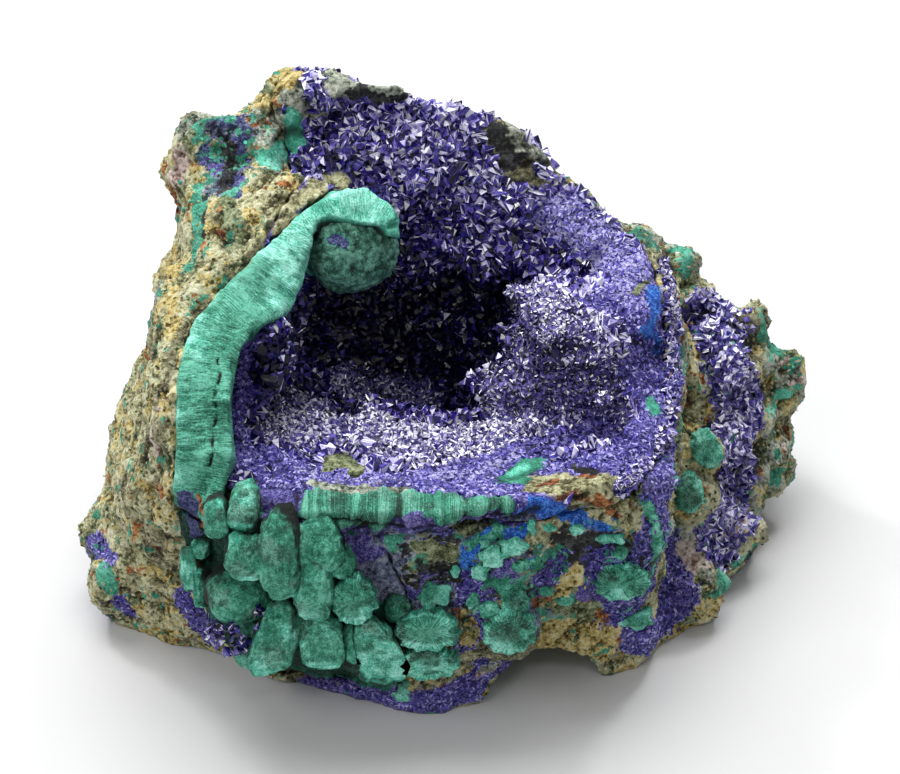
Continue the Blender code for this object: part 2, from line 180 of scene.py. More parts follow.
# mineral patches: mineral, half width in mm, path over the stone as seen in the frame
patches = [
    # top left
    ("greyRock", 3.4, [(196, 128), (225, 118), (250, 120), (266, 132)]),
    ("violetRock", 3.6, [(232, 132), (228, 160), (226, 185)]),
    ("black", 1.3, [(232, 148), (231, 165), (226, 186)]),
    ("cobaltDark", 1.0, [(208, 148), (203, 160)]),
    ("cobaltDark", 1.1, [(243, 134), (241, 165), (236, 195)]),
    ("cobaltDark", 1.3, [(220, 122), (238, 116)]),
    ("pink", 1.7, [(178, 154), (181, 172)]),
    ("rust", 1.2, [(173, 192), (176, 208)]),
    ("rust", 0.7, [(248, 116), (254, 124)]),
    ("rust", 0.6, [(259, 150), (262, 158)]),
    ("black", 0.5, [(206, 195), (204, 215), (202, 235)]),
    ("olive", 1.6, [(222, 205), (240, 225), (232, 245)]),
    ("malachite", 1.0, [(196, 188), (198, 215), (196, 240), (191, 268)]),
    ("paleGreen", 2.0, [(297, 118), (299, 132), (284, 152), (272, 166)]),
    ("ochre", 2.7, [(264, 96), (276, 84), (298, 78), (306, 92)]),
    ("rust", 0.9, [(268, 100), (280, 103), (290, 99)]),
    ("greyRock", 2.2, [(300, 96), (318, 106)]),
    ("azurite", 1.6, [(317, 70), (313, 84), (316, 104)]),
    ("greyRock", 2.2, [(333, 76), (348, 88)]),
    ("greyRock", 1.8, [(350, 84), (375, 84), (404, 88)]),
    ("pink", 0.7, [(362, 82), (385, 82), (400, 84)]),
    ("black", 1.1, [(352, 94), (380, 96), (405, 95)]),
    ("rockDark", 3.0, [(500, 135), (520, 160), (540, 186)]),
    ("black", 1.9, [(494, 130), (506, 144), (516, 160)]),
    ("greyRock", 1.6, [(515, 128), (540, 154), (560, 180)]),
    ("azurite", 0.8, [(540, 168), (556, 182)]),
    ("paleGreen", 0.5, [(584, 205), (600, 220), (616, 232)]),
    # left wall and foot
    ("ochre", 1.5, [(182, 262), (172, 300), (168, 330)]),
    ("pink", 1.0, [(170, 372), (160, 410), (156, 450)]),
    ("rockDark", 1.1, [(163, 470), (160, 430), (166, 385), (176, 345), (200, 305), (235, 272), (262, 248)]),
    ("malachite", 1.5, [(105, 565), (112, 585), (124, 610)]),
    ("azurite", 1.5, [(98, 545), (112, 562)]),
    ("azurite", 1.2, [(118, 600), (132, 615)]),
    ("azurite", 2.2, [(182, 596), (192, 612), (204, 630)]),
    ("cobaltDark", 1.5, [(187, 498), (190, 520), (194, 535)]),
    ("rust", 0.6, [(201, 500), (204, 515), (200, 530)]),
    ("rust", 0.5, [(193, 552), (197, 575)]),
    ("cobaltDark", 0.9, [(330, 238), (345, 241)]),
    ("rust", 0.5, [(346, 258), (351, 268), (349, 282)]),
    ("azurite", 2.3, [(243, 352), (240, 375), (240, 400), (240, 425), (244, 455), (255, 470)]),
    # front
    ("violetRock", 7.0, [(400, 560), (450, 590), (500, 600), (540, 590), (600, 590), (640, 560)]),
    ("violetRock", 3.4, [(400, 536), (450, 536), (505, 528)]),
    ("azurite", 2.8, [(272, 486), (284, 500), (286, 515)]),
    ("azurite", 1.3, [(328, 536), (350, 528), (372, 530)]),
    ("azurite", 2.2, [(345, 546), (372, 552), (396, 566)]),
    ("azurite", 1.5, [(395, 528), (420, 524), (450, 528), (500, 516)]),
    ("violetRock", 4.2, [(400, 572), (425, 590), (450, 600), (470, 620)]),
    ("azurite", 2.4, [(470, 574), (476, 596), (466, 640)]),
    ("violetRock", 4.2, [(505, 574), (540, 588), (560, 570)]),
    ("azurite", 2.6, [(545, 575), (556, 560)]),
    ("azurite", 3.8, [(585, 548), (615, 560), (642, 570), (642, 590)]),
    ("azurite", 3.2, [(600, 604), (622, 625), (642, 640)]),
    ("black", 1.3, [(404, 550), (440, 546), (456, 544)]),
    ("black", 1.0, [(573, 560), (578, 572)]),
    ("rust", 0.6, [(583, 603), (600, 612)]),
    ("black", 1.3, [(420, 562), (450, 566), (466, 561)]),
    ("olive", 1.5, [(420, 551), (440, 550), (455, 554)]),
    ("olive", 1.1, [(450, 526), (475, 530), (490, 527)]),
    ("black", 2.0, [(562, 540), (576, 546), (585, 538)]),
    ("black", 1.2, [(600, 538), (625, 545)]),
    ("cobalt", 1.5, [(528, 508), (555, 513), (585, 519), (620, 525)]),
    ("cobalt", 1.2, [(466, 562), (470, 546), (485, 538), (505, 530), (525, 528)]),
    ("cobalt", 0.9, [(530, 566), (548, 557), (556, 549)]),
    ("limonite", 3.3, [(545, 484), (565, 484), (590, 490), (615, 500), (640, 514)]),
    ("rust", 0.8, [(540, 486), (556, 483)]),
    ("rust", 0.7, [(586, 474), (594, 478)]),
    ("rust", 0.7, [(600, 496), (612, 508)]),
    ("rust", 0.6, [(632, 503)]),
    ("black", 0.8, [(576, 468), (598, 471)]),
    ("ochre", 3.6, [(552, 642), (575, 634), (598, 646)]),
    ("olive", 1.7, [(556, 606), (576, 610), (594, 613)]),
    ("ochre", 1.4, [(546, 602), (562, 590), (574, 576)]),
    ("rust", 0.8, [(534, 606), (545, 600)]),
    ("rust", 0.7, [(596, 612), (606, 618)]),
    ("ochre", 1.5, [(462, 618), (468, 640)]),
    ("rust", 0.6, [(456, 612), (458, 622)]),
    ("malachite", 1.2, [(646, 494), (655, 515), (657, 545), (650, 572)]),
    ("rust", 0.5, [(560, 500), (572, 494), (610, 510), (622, 516)]),
    ("azurite", 3.0, [(318, 688), (350, 697), (385, 700), (430, 706), (462, 690), (500, 666)]),
    ("greyRock", 0.9, [(480, 672), (495, 664)]),
    ("cobaltDark", 1.4, [(214, 622), (226, 632)]),
    # rim
    ("olive", 2.1, [(335, 463), (352, 468)]),
    ("malachite", 2.0, [(508, 482), (520, 473), (536, 463)]),
    ("paleGreen", 0.9, [(512, 476), (526, 467)]),
    ("greyRock", 1.6, [(318, 482), (352, 490), (400, 490)]),
    ("paleAzurite", 4.2, [(562, 212), (592, 236), (622, 262), (640, 285)]),
    ("paleAzurite", 1.2, [(300, 470), (350, 482), (400, 476)]),
    ("paleAzurite", 1.0, [(430, 478), (480, 470), (520, 452)]),
    # knob and ridge
    ("cobalt", 1.4, [(656, 290), (654, 312), (646, 330)]),
    ("cobalt", 0.9, [(657, 335), (655, 352)]),
    ("olive", 0.7, [(636, 292), (648, 280)]),
    ("paleGreen", 1.2, [(653, 406), (657, 416)]),
    ("paleGreen", 0.45, [(666, 360), (669, 368), (667, 374)]),
    ("paleGreen", 0.45, [(670, 312), (672, 318)]),
    ("limonite", 1.7, [(672, 272), (684, 300), (692, 335), (697, 370), (697, 400), (688, 432)]),
    ("rust", 0.35, [(677, 300), (684, 335), (687, 370), (681, 400), (672, 425)]),
    ("rust", 0.7, [(686, 318), (690, 326)]),
    ("rust", 0.7, [(700, 372), (703, 380)]),
    ("azurite", 1.7, [(668, 285), (674, 310), (678, 345), (678, 380), (668, 408)]),
    ("azurite", 2.8, [(660, 428), (663, 455), (666, 485), (664, 515), (654, 545)]),
    ("azurite", 2.0, [(640, 452), (650, 470), (655, 492)]),
    ("malachite", 0.9, [(650, 505), (657, 530), (655, 560), (646, 590)]),
    ("paleGreen", 0.45, [(656, 515), (659, 545), (652, 575)]),
    ("limonite", 2.3, [(282, 222), (296, 204), (316, 190), (338, 180)]),
    # right flank
    ("azurite", 5.0, [(712, 290), (722, 312), (733, 345), (738, 380), (742, 410)]),
    ("azurite", 5.0, [(737, 440), (735, 480), (728, 515), (716, 545)]),
    ("azurite", 3.2, [(672, 556), (674, 580), (668, 612), (655, 640)]),
    ("greyRock", 3.4, [(636, 232), (662, 246), (686, 262)]),
    ("olive", 1.8, [(660, 250), (684, 262)]),
    ("darkGreen", 1.4, [(632, 234), (648, 240)]),
    ("malachite", 1.6, [(748, 312), (760, 326), (766, 345)]),
    ("rockDark", 2.6, [(744, 322), (752, 345)]),
    ("greyRock", 4.5, [(785, 360), (800, 380), (806, 410)]),
    ("paleGreen", 1.1, [(768, 412), (780, 398), (800, 390)]),
    ("paleGreen", 1.2, [(806, 378), (810, 394)]),
    ("pink", 1.3, [(776, 420), (772, 432)]),
    ("rust", 0.6, [(786, 428), (790, 436)]),
    ("malachite", 1.2, [(788, 452), (776, 480)]),
    ("greyRock", 4.0, [(775, 440), (770, 500), (750, 560)]),
    ("malachite", 1.3, [(770, 512), (752, 552)]),
    ("pink", 1.6, [(684, 552), (700, 560)]),
    ("pink", 1.1, [(744, 500), (738, 525), (722, 545)]),
    ("malachite", 1.5, [(735, 562), (715, 592), (695, 612)]),
    ("ochre", 1.8, [(670, 642), (690, 626), (705, 606)]),
]
# in the order they lie over one another
minerals = [
    "limonite", "rockDark", "greyRock", "ochre", "olive", "pink", "rust", "violetRock",
    "azurite", "paleAzurite", "cobaltDark", "cobalt", "malachite", "darkGreen", "paleGreen", "black",
]
# a patch's ragged edge: size (mm) and seed of its wander, the most it wanders in mm, the same as a share of
# the patch's half width, and where the patch fades, in half widths
patchEdge = {"size": 2.4, "seed": 300, "most": 1.3, "share": 0.7, "fade": (0.6, 1.4)}
longestStep = 18  # mm; where a path steps further than this, it jumps across a hollow
patchPaths = [(kind, width, seatsAt(path)) for kind, width, path in patches]


def distanceToPath(points, path):
    best = np.full(len(points), 1e9)
    for a, b in zip(path, path[1:] if len(path) > 1 else path):
        run = b - a
        if np.linalg.norm(run) > longestStep:
            run = run * 0
        t = np.clip((points - a) @ run / max(run @ run, 1e-9), 0, 1)
        best = np.minimum(best, np.linalg.norm(points - a - t[:, None] * run, axis=1))
    return best


def mineralMap(points, base):
    # how much of each mineral each point has: base gives the ground, and the patches lie over it
    share = {kind: np.zeros(len(points)) for kind in minerals}
    for kind, value in base.items():
        share[kind] = value.copy()
    bent = warped(points, patchEdge["size"], patchEdge["seed"], 1.0) - points
    for kind, width, path in patchPaths:
        if not path:
            continue
        centre = np.mean(path, axis=0)
        reach = max(np.linalg.norm(p - centre) for p in path) + width * 2 + 2
        near = np.linalg.norm(points - centre, axis=1) < reach
        if not near.any():
            continue
        spot = points[near] + bent[near] * min(patchEdge["most"], width * patchEdge["share"])
        cover = 1 - ramp(distanceToPath(spot, path) / width, *patchEdge["fade"])
        above = minerals[minerals.index(kind) + 1:]
        hidden = np.clip(sum((share[other][near] for other in above), np.zeros(near.sum())), 0, 1)
        for other in above:
            share[other][near] *= 1 - cover
        share[kind][near] = np.maximum(share[kind][near], cover * (1 - hidden) + ramp(cover, 0, 0.4) * hidden)
    return share


def bareBlue(share):
    # how much azurite shows, where nothing lies over it
    over = minerals[minerals.index("paleAzurite") + 1:]
    return np.maximum(share["azurite"], share["paleAzurite"]) - np.max([share[kind] for kind in over], axis=0)


def readRows(items, name, width=3):
    values = np.empty(len(items) * width)
    items.foreach_get(name, values)
    return values.reshape(-1, width)


def pointsOf(data):
    return readRows(data.vertices, "co") / mm


def normalsOf(data):
    return readRows(data.vertex_normals, "vector")


boxLow, boxHigh = [np.array(c) / mm for c in cadBox]


def movePoints(data, points):
    inside = np.clip(points, boxLow + 0.02, boxHigh - 0.02)
    data.vertices.foreach_set("co", (inside * mm).ravel())
    data.update()


def store(data, name, values, domain="POINT"):
    # a number for each point or face, or a vector where each row has three
    rows = values.ndim == 2
    stored = data.attributes.new(name, "FLOAT_VECTOR" if rows else "FLOAT", domain)
    stored.data.foreach_set("vector" if rows else "value", values.astype(np.float32).ravel())


def storeMinerals(data, share, depth, fibre=None):
    # depth is 0 in the pits and 1 on the high spots, and the material paints shade in the low ones from it;
    # fibre is along, across and how fibrous
    ground = {
        "malachite": share["malachite"] + share["paleGreen"] + share["darkGreen"],
        "azurite": share["azurite"] + share["paleAzurite"],
    }
    for kind in minerals:
        store(data, kind, np.clip(ground.get(kind, share[kind]), 0, 1))
    store(data, "depth", np.clip(depth, 0, 1))
    store(data, "fibre", np.zeros((len(depth), 3)) if fibre is None else fibre)


def meshFrom(name, points, faces):
    data = bpy.data.meshes.new(name)
    data.from_pydata((points * mm).tolist(), [], faces.tolist())
    movePoints(data, points)
    return data


def addPiece(name, data):
    obj = newObject(name, data)
    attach(obj, "root")
    return obj


# a fine closed skin over each of the frame's nodes: grain and growth in mm, rounds of smoothing
skins = {
    "rockSkin": {"node": "host_rock", "grain": 0.72, "grow": 0.05, "smooth": 4},
    "azuriteLining": {"node": "azurite_crust", "grain": 0.8, "grow": 0.1, "smooth": 3},
    "malachiteLayer": {"node": "malachite_band", "grain": 0.29, "grow": 0.2, "smooth": 8},
    "malachiteFront": {"node": "malachite_front", "grain": 0.36, "grow": 0.1, "smooth": 8},
}


def skinOf(name):
    spec = skins[name]
    bm = bmesh.new()
    bm.from_mesh(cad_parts[spec["node"]].data)
    bmesh.ops.remove_doubles(bm, verts=bm.verts, dist=1e-6)
    obj = addPiece(name, meshOf(name, bm))
    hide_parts(spec["node"])
    push = obj.modifiers.new("grow", "DISPLACE")
    push.mid_level, push.strength = 0, spec["grow"] * mm
    fine = obj.modifiers.new("fine", "REMESH")
    fine.mode = "VOXEL"
    fine.voxel_size = spec["grain"] * mm * coarser["grain"]
    soft = obj.modifiers.new("soft", "SMOOTH")
    soft.iterations, soft.factor = spec["smooth"], 0.5
    bpy.context.view_layer.update()
    made = bpy.data.meshes.new_from_object(obj.evaluated_get(bpy.context.evaluated_depsgraph_get()))
    obj.modifiers.clear()
    obj.data = made
    return obj


# outer and inner edge of the fibrous layer and the ball at its end, mm
layer = {
    "edges": [
        ((-37.9, -32, 33), (-32.3, -33.5, 30)), ((-37.3, -29, 40), (-28.9, -30, 40.5)),
        ((-37.3, -24, 45), (-29.3, -25, 45.5)), ((-36.3, -16.5, 48.5), (-28.8, -17.5, 48)),
        ((-35.3, -12, 50), (-25.8, -12, 50)), ((-31.3, -7, 52), (-21.3, -8, 49)),
        ((-26.3, -2, 54.5), (-20.3, -4, 52)), ((-20.8, 3, 58), (-19.3, 0, 55.5)),
        ((-16.3, 6, 60), (-14.3, 2, 56.5)), ((-11.3, 6, 60.5), (-9.8, 2, 57)),
        ((-7.6, 3.5, 58), (-7, 2, 55.5)),
    ],
    # the dotted growth line: share across the layer, its wander and width, and where along the layer it fades
    "line": 0.66, "lineWander": 0.05, "lineWidth": 0.03, "lineEnds": (22, 30),
    # relief in mm: fibres, steps across them, the line's dots and groove, slow swell, room under the ball
    "fibres": 0.1, "steps": 0.4, "dots": 0.4, "groove": 0.15, "swell": 0.35, "underBall": 2.0,
}
# the granular ball under the horn, in mm: centre, radii, upper limit and its slope, beads and slow swell
hornBall = {
    "centre": (-13.85, 5.9, 50.2), "radii": (6.9, 6.7, 6.9), "top": (56.1, 0.35),
    "bead": 0.85, "beadRise": 0.42, "swell": 0.35,
}


def alongLayer(points):
    # length along the layer, share across it from outer to inner edge, and distance from the outer edge
    outer = np.array([a for a, b in layer["edges"]], float)
    inner = np.array([b for a, b in layer["edges"]], float)
    middle = (outer + inner) / 2
    lengths = np.r_[0, np.cumsum(np.linalg.norm(np.diff(middle, axis=0), axis=1))]
    best = np.full(len(points), 1e9)
    along, across = np.zeros(len(points)), np.zeros(len(points))
    for k in range(len(middle) - 1):
        run = middle[k + 1] - middle[k]
        t = np.clip((points - middle[k]) @ run / (run @ run), 0, 1)[:, None]
        low = outer[k] + t * (outer[k + 1] - outer[k])
        side = inner[k] + t * (inner[k + 1] - inner[k]) - low
        s = np.sum((points - low) * side, axis=1) / np.sum(side * side, axis=1)
        d = np.linalg.norm(points - middle[k] - t * run, axis=1)
        use = d < best
        best = np.where(use, d, best)
        along = np.where(use, lengths[k] + t[:, 0] * np.linalg.norm(run), along)
        across = np.where(use, s, across)
    return along, across, distanceToPath(points, list(outer))


def seenFrom(points, normals):
    ray = np.array(eye) / mm - points
    ray /= np.linalg.norm(ray, axis=1)[:, None]
    return np.sum(ray * normals, axis=1)


# flecks of one mineral in another: ground, fleck, size in mm, seed, how rare
flecks = [
    ("violetRock", "malachite", 3.4, 401, 0.05), ("violetRock", "azurite", 2.8, 402, 0.1),
    ("violetRock", "olive", 2.4, 403, 0.25), ("violetRock", "black", 2.0, 404, 0.4),
    ("greyRock", "malachite", 3.0, 405, 0.4), ("greyRock", "pink", 2.6, 406, 0.5),
    ("greyRock", "olive", 2.2, 407, 0.3), ("limonite", "rust", 2.0, 408, 0.8),
    ("limonite", "olive", 2.4, 409, 0.42), ("limonite", "ochre", 2.8, 410, 0.25),
    ("limonite", "malachite", 1.8, 411, 0.66),
]
# from and to of the noise that turns unseen rock violet, blue or green, rusts it, greys it and darkens it
rockMix = {
    "violetRock": (0.14, 0.3), "azurite": (0.36, 0.46), "malachite": (0.42, 0.52),
    "rust": (0.75, 0.9), "greyRock": (0.2, 0.5), "dark": (0.25, 0.6),
}
# relief in mm: first the weathered rock's, then the flank's and that of the azurite and malachite on the rock
rockRelief = {
    "ledges": 0.4, "beds": 0.5, "jagged": 0.45, "blocks": 0.7, "pits": 0.9, "smallPits": 0.6, "lower": 0.2,
    "flank": 0.9, "crust": 0.6, "crustSwell": 0.35, "lumps": 0.9,
}
liningRelief = {"flow": 0.4, "grains": 0.35, "lower": 0.2}


def rockMinerals(points, normals):
    hidden = 1 - ramp(seenFrom(points, normals), -0.15, 0.25)
    blue = fractal(points, 15, 11, 4) + 0.3 * fractal(points, 3.2, 12, 3)
    blue = blue + 0.15 * (1 - ramp(points[:, 2], 6, 16))
    green = fractal(points, 12, 47, 4) + 0.3 * fractal(points, 2.8, 48, 3)
    base = {
        "violetRock": ramp(blue, *rockMix["violetRock"]) * hidden,
        "azurite": ramp(blue, *rockMix["azurite"]) * hidden,
        "malachite": ramp(green, *rockMix["malachite"]) * hidden,
        "rust": ramp(fractal(points, 4, 91, 3), *rockMix["rust"]) * 0.7,
        "greyRock": ramp(fractal(points, 9, 177, 4), *rockMix["greyRock"]) * ramp(points[:, 0], -15, 10),
    }
    rest = (1 - base["azurite"]) * (1 - base["malachite"])
    dark = ramp(fractal(points, 7, 77, 4), *rockMix["dark"])
    base["limonite"], base["rockDark"] = (1 - dark) * rest, dark * rest
    share = mineralMap(points, base)
    for ground, kind, size, seed, least in flecks:
        spots = fractal(warped(points, 1.5, seed, 0.6), size, seed, 3)
        part = share[ground] * ramp(spots, least, least + 0.15)
        if minerals.index(kind) < minerals.index(ground):
            share[ground] -= part
        share[kind] = np.maximum(share[kind], part)
    return share


def finishRock(obj):
    points, normals = pointsOf(obj.data), normalsOf(obj.data)
    share = rockMinerals(points, normals)
    crumbly = 1 - np.clip(share["azurite"] + share["malachite"] + share["paleGreen"] + share["cobalt"], 0, 1)
    relief = rockRelief
    along, _, out = alongLayer(points)
    wall = np.exp(-out / 12) * (1 - ramp(points[:, 0], -22, -8))
    beds = fractal(np.stack([out / 1.1, along / 9, points[:, 2] / 9], axis=1), 1, 61, 3) * wall
    ledges = fractal(points * np.array([1, 1, 1.8]), 5, 62, 4)
    jagged = 1 - np.abs(fractal(warped(points, 2, 29, 0.5), 2.6, 64, 3)) * 2
    bent = warped(points, 1.8, 5, 0.8)
    near, second, own = cellNoise(bent, 2.5, 21)
    pits = ramp(own, 0.6, 0.7) * (1 - ramp(near, 0.1, 0.45))
    blocks = ramp(second - near, 0, 0.35) * (own - 0.4)
    near, second, own = cellNoise(bent, 1.35, 33)
    smallPits = ramp(own, 0.5, 0.6) * (1 - ramp(near, 0.1, 0.45))
    lift = relief["ledges"] * ledges + relief["beds"] * beds + relief["jagged"] * jagged
    lift = lift + relief["blocks"] * blocks - relief["pits"] * pits - relief["smallPits"] * smallPits
    lift = crumbly * (lift - relief["lower"])
    lift += relief["flank"] * fractal(points, 3.6, 65, 2) * ramp(points[:, 0], 26, 40)
    near, second, own = cellNoise(warped(points, 1.2, 88, 0.3), 1.3, 83)
    crust = relief["crust"] * (second - near) * (own - 0.2) + relief["crustSwell"] * fractal(points, 3, 13, 3)
    lift += share["azurite"] * crust
    near = cellNoise(points, 2.6, 95)[0]
    lift += (share["malachite"] + 0.6 * share["paleGreen"]) * relief["lumps"] * (0.6 - near)
    lift *= ramp(points[:, 2], 0.2, 2.0)
    movePoints(obj.data, points + normals * lift[:, None])
    storeMinerals(obj.data, share, 0.7 + lift * 0.6)


def finishLining(obj):
    points, normals = pointsOf(obj.data), normalsOf(obj.data)
    share = mineralMap(points, {"azurite": np.ones(len(points))})
    flow = 1 - 2 * np.abs(fractal(warped(points, 4, 3, 0.8) * np.array([0.3, 1, 1]), 1.9, 51, 3))
    near, second, own = cellNoise(points, 1.4, 41)
    relief = liningRelief
    lift = relief["flow"] * flow + relief["grains"] * (second - near) * own - relief["lower"]
    movePoints(obj.data, points + normals * lift[:, None])
    storeMinerals(obj.data, share, 0.6 + lift * 0.9)


def finishLayer(obj):
    points, normals = pointsOf(obj.data), normalsOf(obj.data)
    along, across, _ = alongLayer(points)
    away = (points - np.array(hornBall["centre"])) / np.array(hornBall["radii"])
    level, slope = hornBall["top"]
    above = ramp(points[:, 2] - slope * points[:, 1], level - 0.3, level + 0.3)
    ball = (1 - ramp(np.linalg.norm(away, axis=1), 1.2, 1.35)) * (1 - above)
    ball *= ramp(points[:, 0] + 0.3 * points[:, 2], -5.6, -4.6)
    upper = ramp(along, 14, 40)
    edge = ramp(np.abs(across - 0.5), 0.42, 0.56)
    tone = fractal(np.stack([along, across * 8, along * 0], axis=1), 5, 61, 3)
    pale = ramp(tone * 0.6 + upper * 0.75 + 0.5 * ramp(along, 38, 48) + 0.3 * edge, 0.25, 1.0)
    rim = ramp(-across, 0.04, 0.2) * (1 - ball)
    share = mineralMap(points, {
        "paleGreen": pale * (1 - ball) * (1 - rim), "malachite": (1 - pale) * (1 - ball) * (1 - rim),
        "darkGreen": ball, "limonite": rim,
    })
    lengthwise = np.stack([along, along * 0, along * 0], axis=1)
    line = across - layer["line"] - layer["lineWander"] * smoothNoise(lengthwise, 3, 4)
    growth = np.exp(-(line / layer["lineWidth"]) ** 2) * (1 - ramp(along, *layer["lineEnds"])) * (1 - ball)
    dots = growth * ramp(smoothNoise(lengthwise, 0.9, 8), -0.2, 0.2)
    share["black"] = np.maximum(share["black"], dots * 0.75)
    front = ramp(np.sum(normals * np.array([0, -0.75, 0.66]), axis=1), 0.2, 0.6)
    fibres = np.stack([along / 0.5 + 0.6 * fractal(points, 5, 20, 2), across * 1.3, along * 0], axis=1)
    steps = smoothNoise(np.stack([along, across * 3, along * 0], axis=1), 3.6, 24)
    detail = layer["fibres"] * fractal(fibres, 1, 81, 2) + layer["steps"] * np.abs(steps)
    detail = (1 - ball) * front * detail
    detail = detail - layer["dots"] * dots - layer["groove"] * growth
    detail -= ball * layer["underBall"]
    detail += layer["swell"] * fractal(points, 4, 19, 3) * (1 - ball)
    movePoints(obj.data, points + normals * detail[:, None])
    fibre = np.stack([along * (1 - ball), across * 8 * (1 - ball), 1 - ball], axis=1)
    storeMinerals(obj.data, share, 0.75 + detail * 0.8, fibre)


def makeBall():
    bm = bmesh.new()
    bmesh.ops.create_icosphere(bm, subdivisions=6, radius=1)
    data = meshOf("malachiteBall", bm)
    unit = pointsOf(data) * mm
    points = np.array(hornBall["centre"]) + unit * np.array(hornBall["radii"])
    beads = 0.62 - cellNoise(points, hornBall["bead"], 17)[0]
    lift = hornBall["beadRise"] * beads + hornBall["swell"] * fractal(points, 4, 18, 2)
    movePoints(data, points + unit * lift[:, None])
    share = mineralMap(points, {"darkGreen": np.ones(len(points)), "malachite": np.ones(len(points))})
    stain = ramp(fractal(points, 2.4, 28, 3), 0.5, 0.7) * ramp(-points[:, 2], -51, -46) * 0.8
    share["rust"] = np.maximum(share["rust"], stain)
    storeMinerals(data, share, 0.72 + 1.1 * beads)
    return addPiece("malachiteBall", data)


# malachite buds: column, row, half width and half height in pixels, how proud in mm, kind,
# how pale from 0 to 1, and how far the foot leans to the right
buds = [
    (216, 516, 11, 20, 2.8, "column", 0.3, 0.1), (245, 506, 15, 27, 2.8, "column", 0.4, -0.2),
    (245, 556, 20, 23, 4.0, "block", 0.45, 0.1), (238, 594, 32, 27, 3.6, "boss", 0.2, 0.0),
    (258, 642, 22, 28, 3.0, "column", 0.3, 0.1), (279, 555, 19, 46, 3.6, "column", 0.05, 0.0),
    (279, 636, 22, 40, 4.2, "column", 0.55, -0.35), (314, 545, 26, 26, 2.6, "block", 0.3, 0.1),
    (316, 584, 19, 34, 3.2, "column", 0.2, 0.0), (323, 640, 22, 31, 4.0, "column", 0.4, 0.05),
    (355, 599, 22, 22, 2.8, "fan", 0.5, 0.0), (353, 640, 9, 22, 1.6, "column", 0.0, 0.1),
    (374, 650, 24, 36, 4.4, "column", 0.55, 0.4), (401, 691, 13, 9, 1.8, "shell", 0.8, 0.0),
    (428, 630, 29, 20, 2.8, "fan", 0.45, 0.0), (429, 661, 26, 20, 2.8, "fan", 0.65, 0.0),
    (431, 595, 16, 13, 1.4, "shell", 0.6, 0.0), (398, 608, 14, 16, 1.4, "boss", 0.2, 0.0),
    (300, 620, 9, 22, 1.8, "column", 0.0, 0.0), (340, 560, 14, 18, 1.6, "block", 0.3, 0.0),
    (188, 567, 9, 21, 2.4, "block", 0.5, 0.1), (201, 547, 9, 11, 1.8, "block", 0.4, 0.0),
    (202, 588, 6, 21, 1.8, "column", 0.4, 0.1), (516, 602, 13, 14, 1.6, "fan", 0.4, 0.0),
    (510, 630, 25, 22, 2.4, "fan", 0.5, 0.0), (490, 610, 11, 9, 1.0, "boss", 0.4, 0.0),
    (618, 580, 26, 18, 2.0, "fan", 0.45, 0.0), (638, 618, 15, 9, 1.8, "shell", 0.7, 0.0),
    (619, 552, 8, 8, 1.4, "boss", 0.3, 0.0), (608, 538, 14, 5, 1.4, "shell", 0.9, 0.0),
    (705, 448, 16, 20, 1.8, "fan", 0.5, 0.3), (689, 492, 15, 21, 2.0, "fan", 0.35, 0.0),
    (548, 527, 6, 5, 1.2, "shell", 1.0, 0.0), (577, 529, 7, 6, 1.2, "boss", 1.0, 0.0),
    (532, 526, 4, 7, 1.0, "shell", 1.0, 0.3), (482, 571, 9, 10, 1.2, "shell", 1.0, -0.4),
    (494, 557, 12, 9, 1.4, "shell", 1.0, -0.3), (512, 547, 13, 8, 1.4, "shell", 0.85, 0.0),
    (487, 545, 6, 5, 0.9, "shell", 0.9, 0.0), (520, 566, 9, 6, 1.0, "boss", 0.3, 0.0),
    (455, 570, 5, 8, 1.0, "boss", 0.7, 0.0), (474, 600, 7, 9, 1.2, "shell", 0.8, 0.0),
    (566, 600, 10, 6, 0.9, "boss", 0.3, 0.0), (546, 590, 8, 6, 0.9, "boss", 0.4, 0.0),
]
# widening towards the foot, petals round the edge and how deep they cut, squareness of the outline and face,
# size of the lumps, strength of the fibres, and how dark the edge is, as painted shade in the gaps between
# buds
budParts = ("widen", "petals", "cut", "square", "face", "lumps", "fibres", "edge")
budKinds = {
    "column": (0.2, 0, 0.0, 0.76, 0.62, 0.2, 0.12, 1.0),
    "block": (0.05, 5, 0.07, 0.75, 0.5, 0.24, 0.1, 0.9),
    "boss": (0.0, 0, 0.0, 0.95, 0.85, 0.12, 0.1, 0.9),
    "fan": (0.1, 11, 0.05, 1.0, 0.5, 0.14, 1.0, 0.3),
    "shell": (0.0, 5, 0.14, 0.9, 0.5, 0.34, 0.6, 0.2),
}
budKinds = {kind: dict(zip(budParts, row)) for kind, row in budKinds.items()}
bigBud = 400  # buds of more square pixels get a finer ball
budRelief = {"plain": 0.09, "fanned": 0.07, "sink": 0.15}  # fine relief in mm, share of a bud that is sunk in
pixelsPerMm = 6.73


def cornersAndFaces(bm):
    bm.verts.index_update()
    verts = np.array([v.co for v in bm.verts])
    faces = np.array([[v.index for v in f.verts] for f in bm.faces])
    bm.free()
    return verts, faces


def budBall(fineness):
    bm = bmesh.new()
    bmesh.ops.create_icosphere(bm, subdivisions=fineness, radius=1)
    return cornersAndFaces(bm)


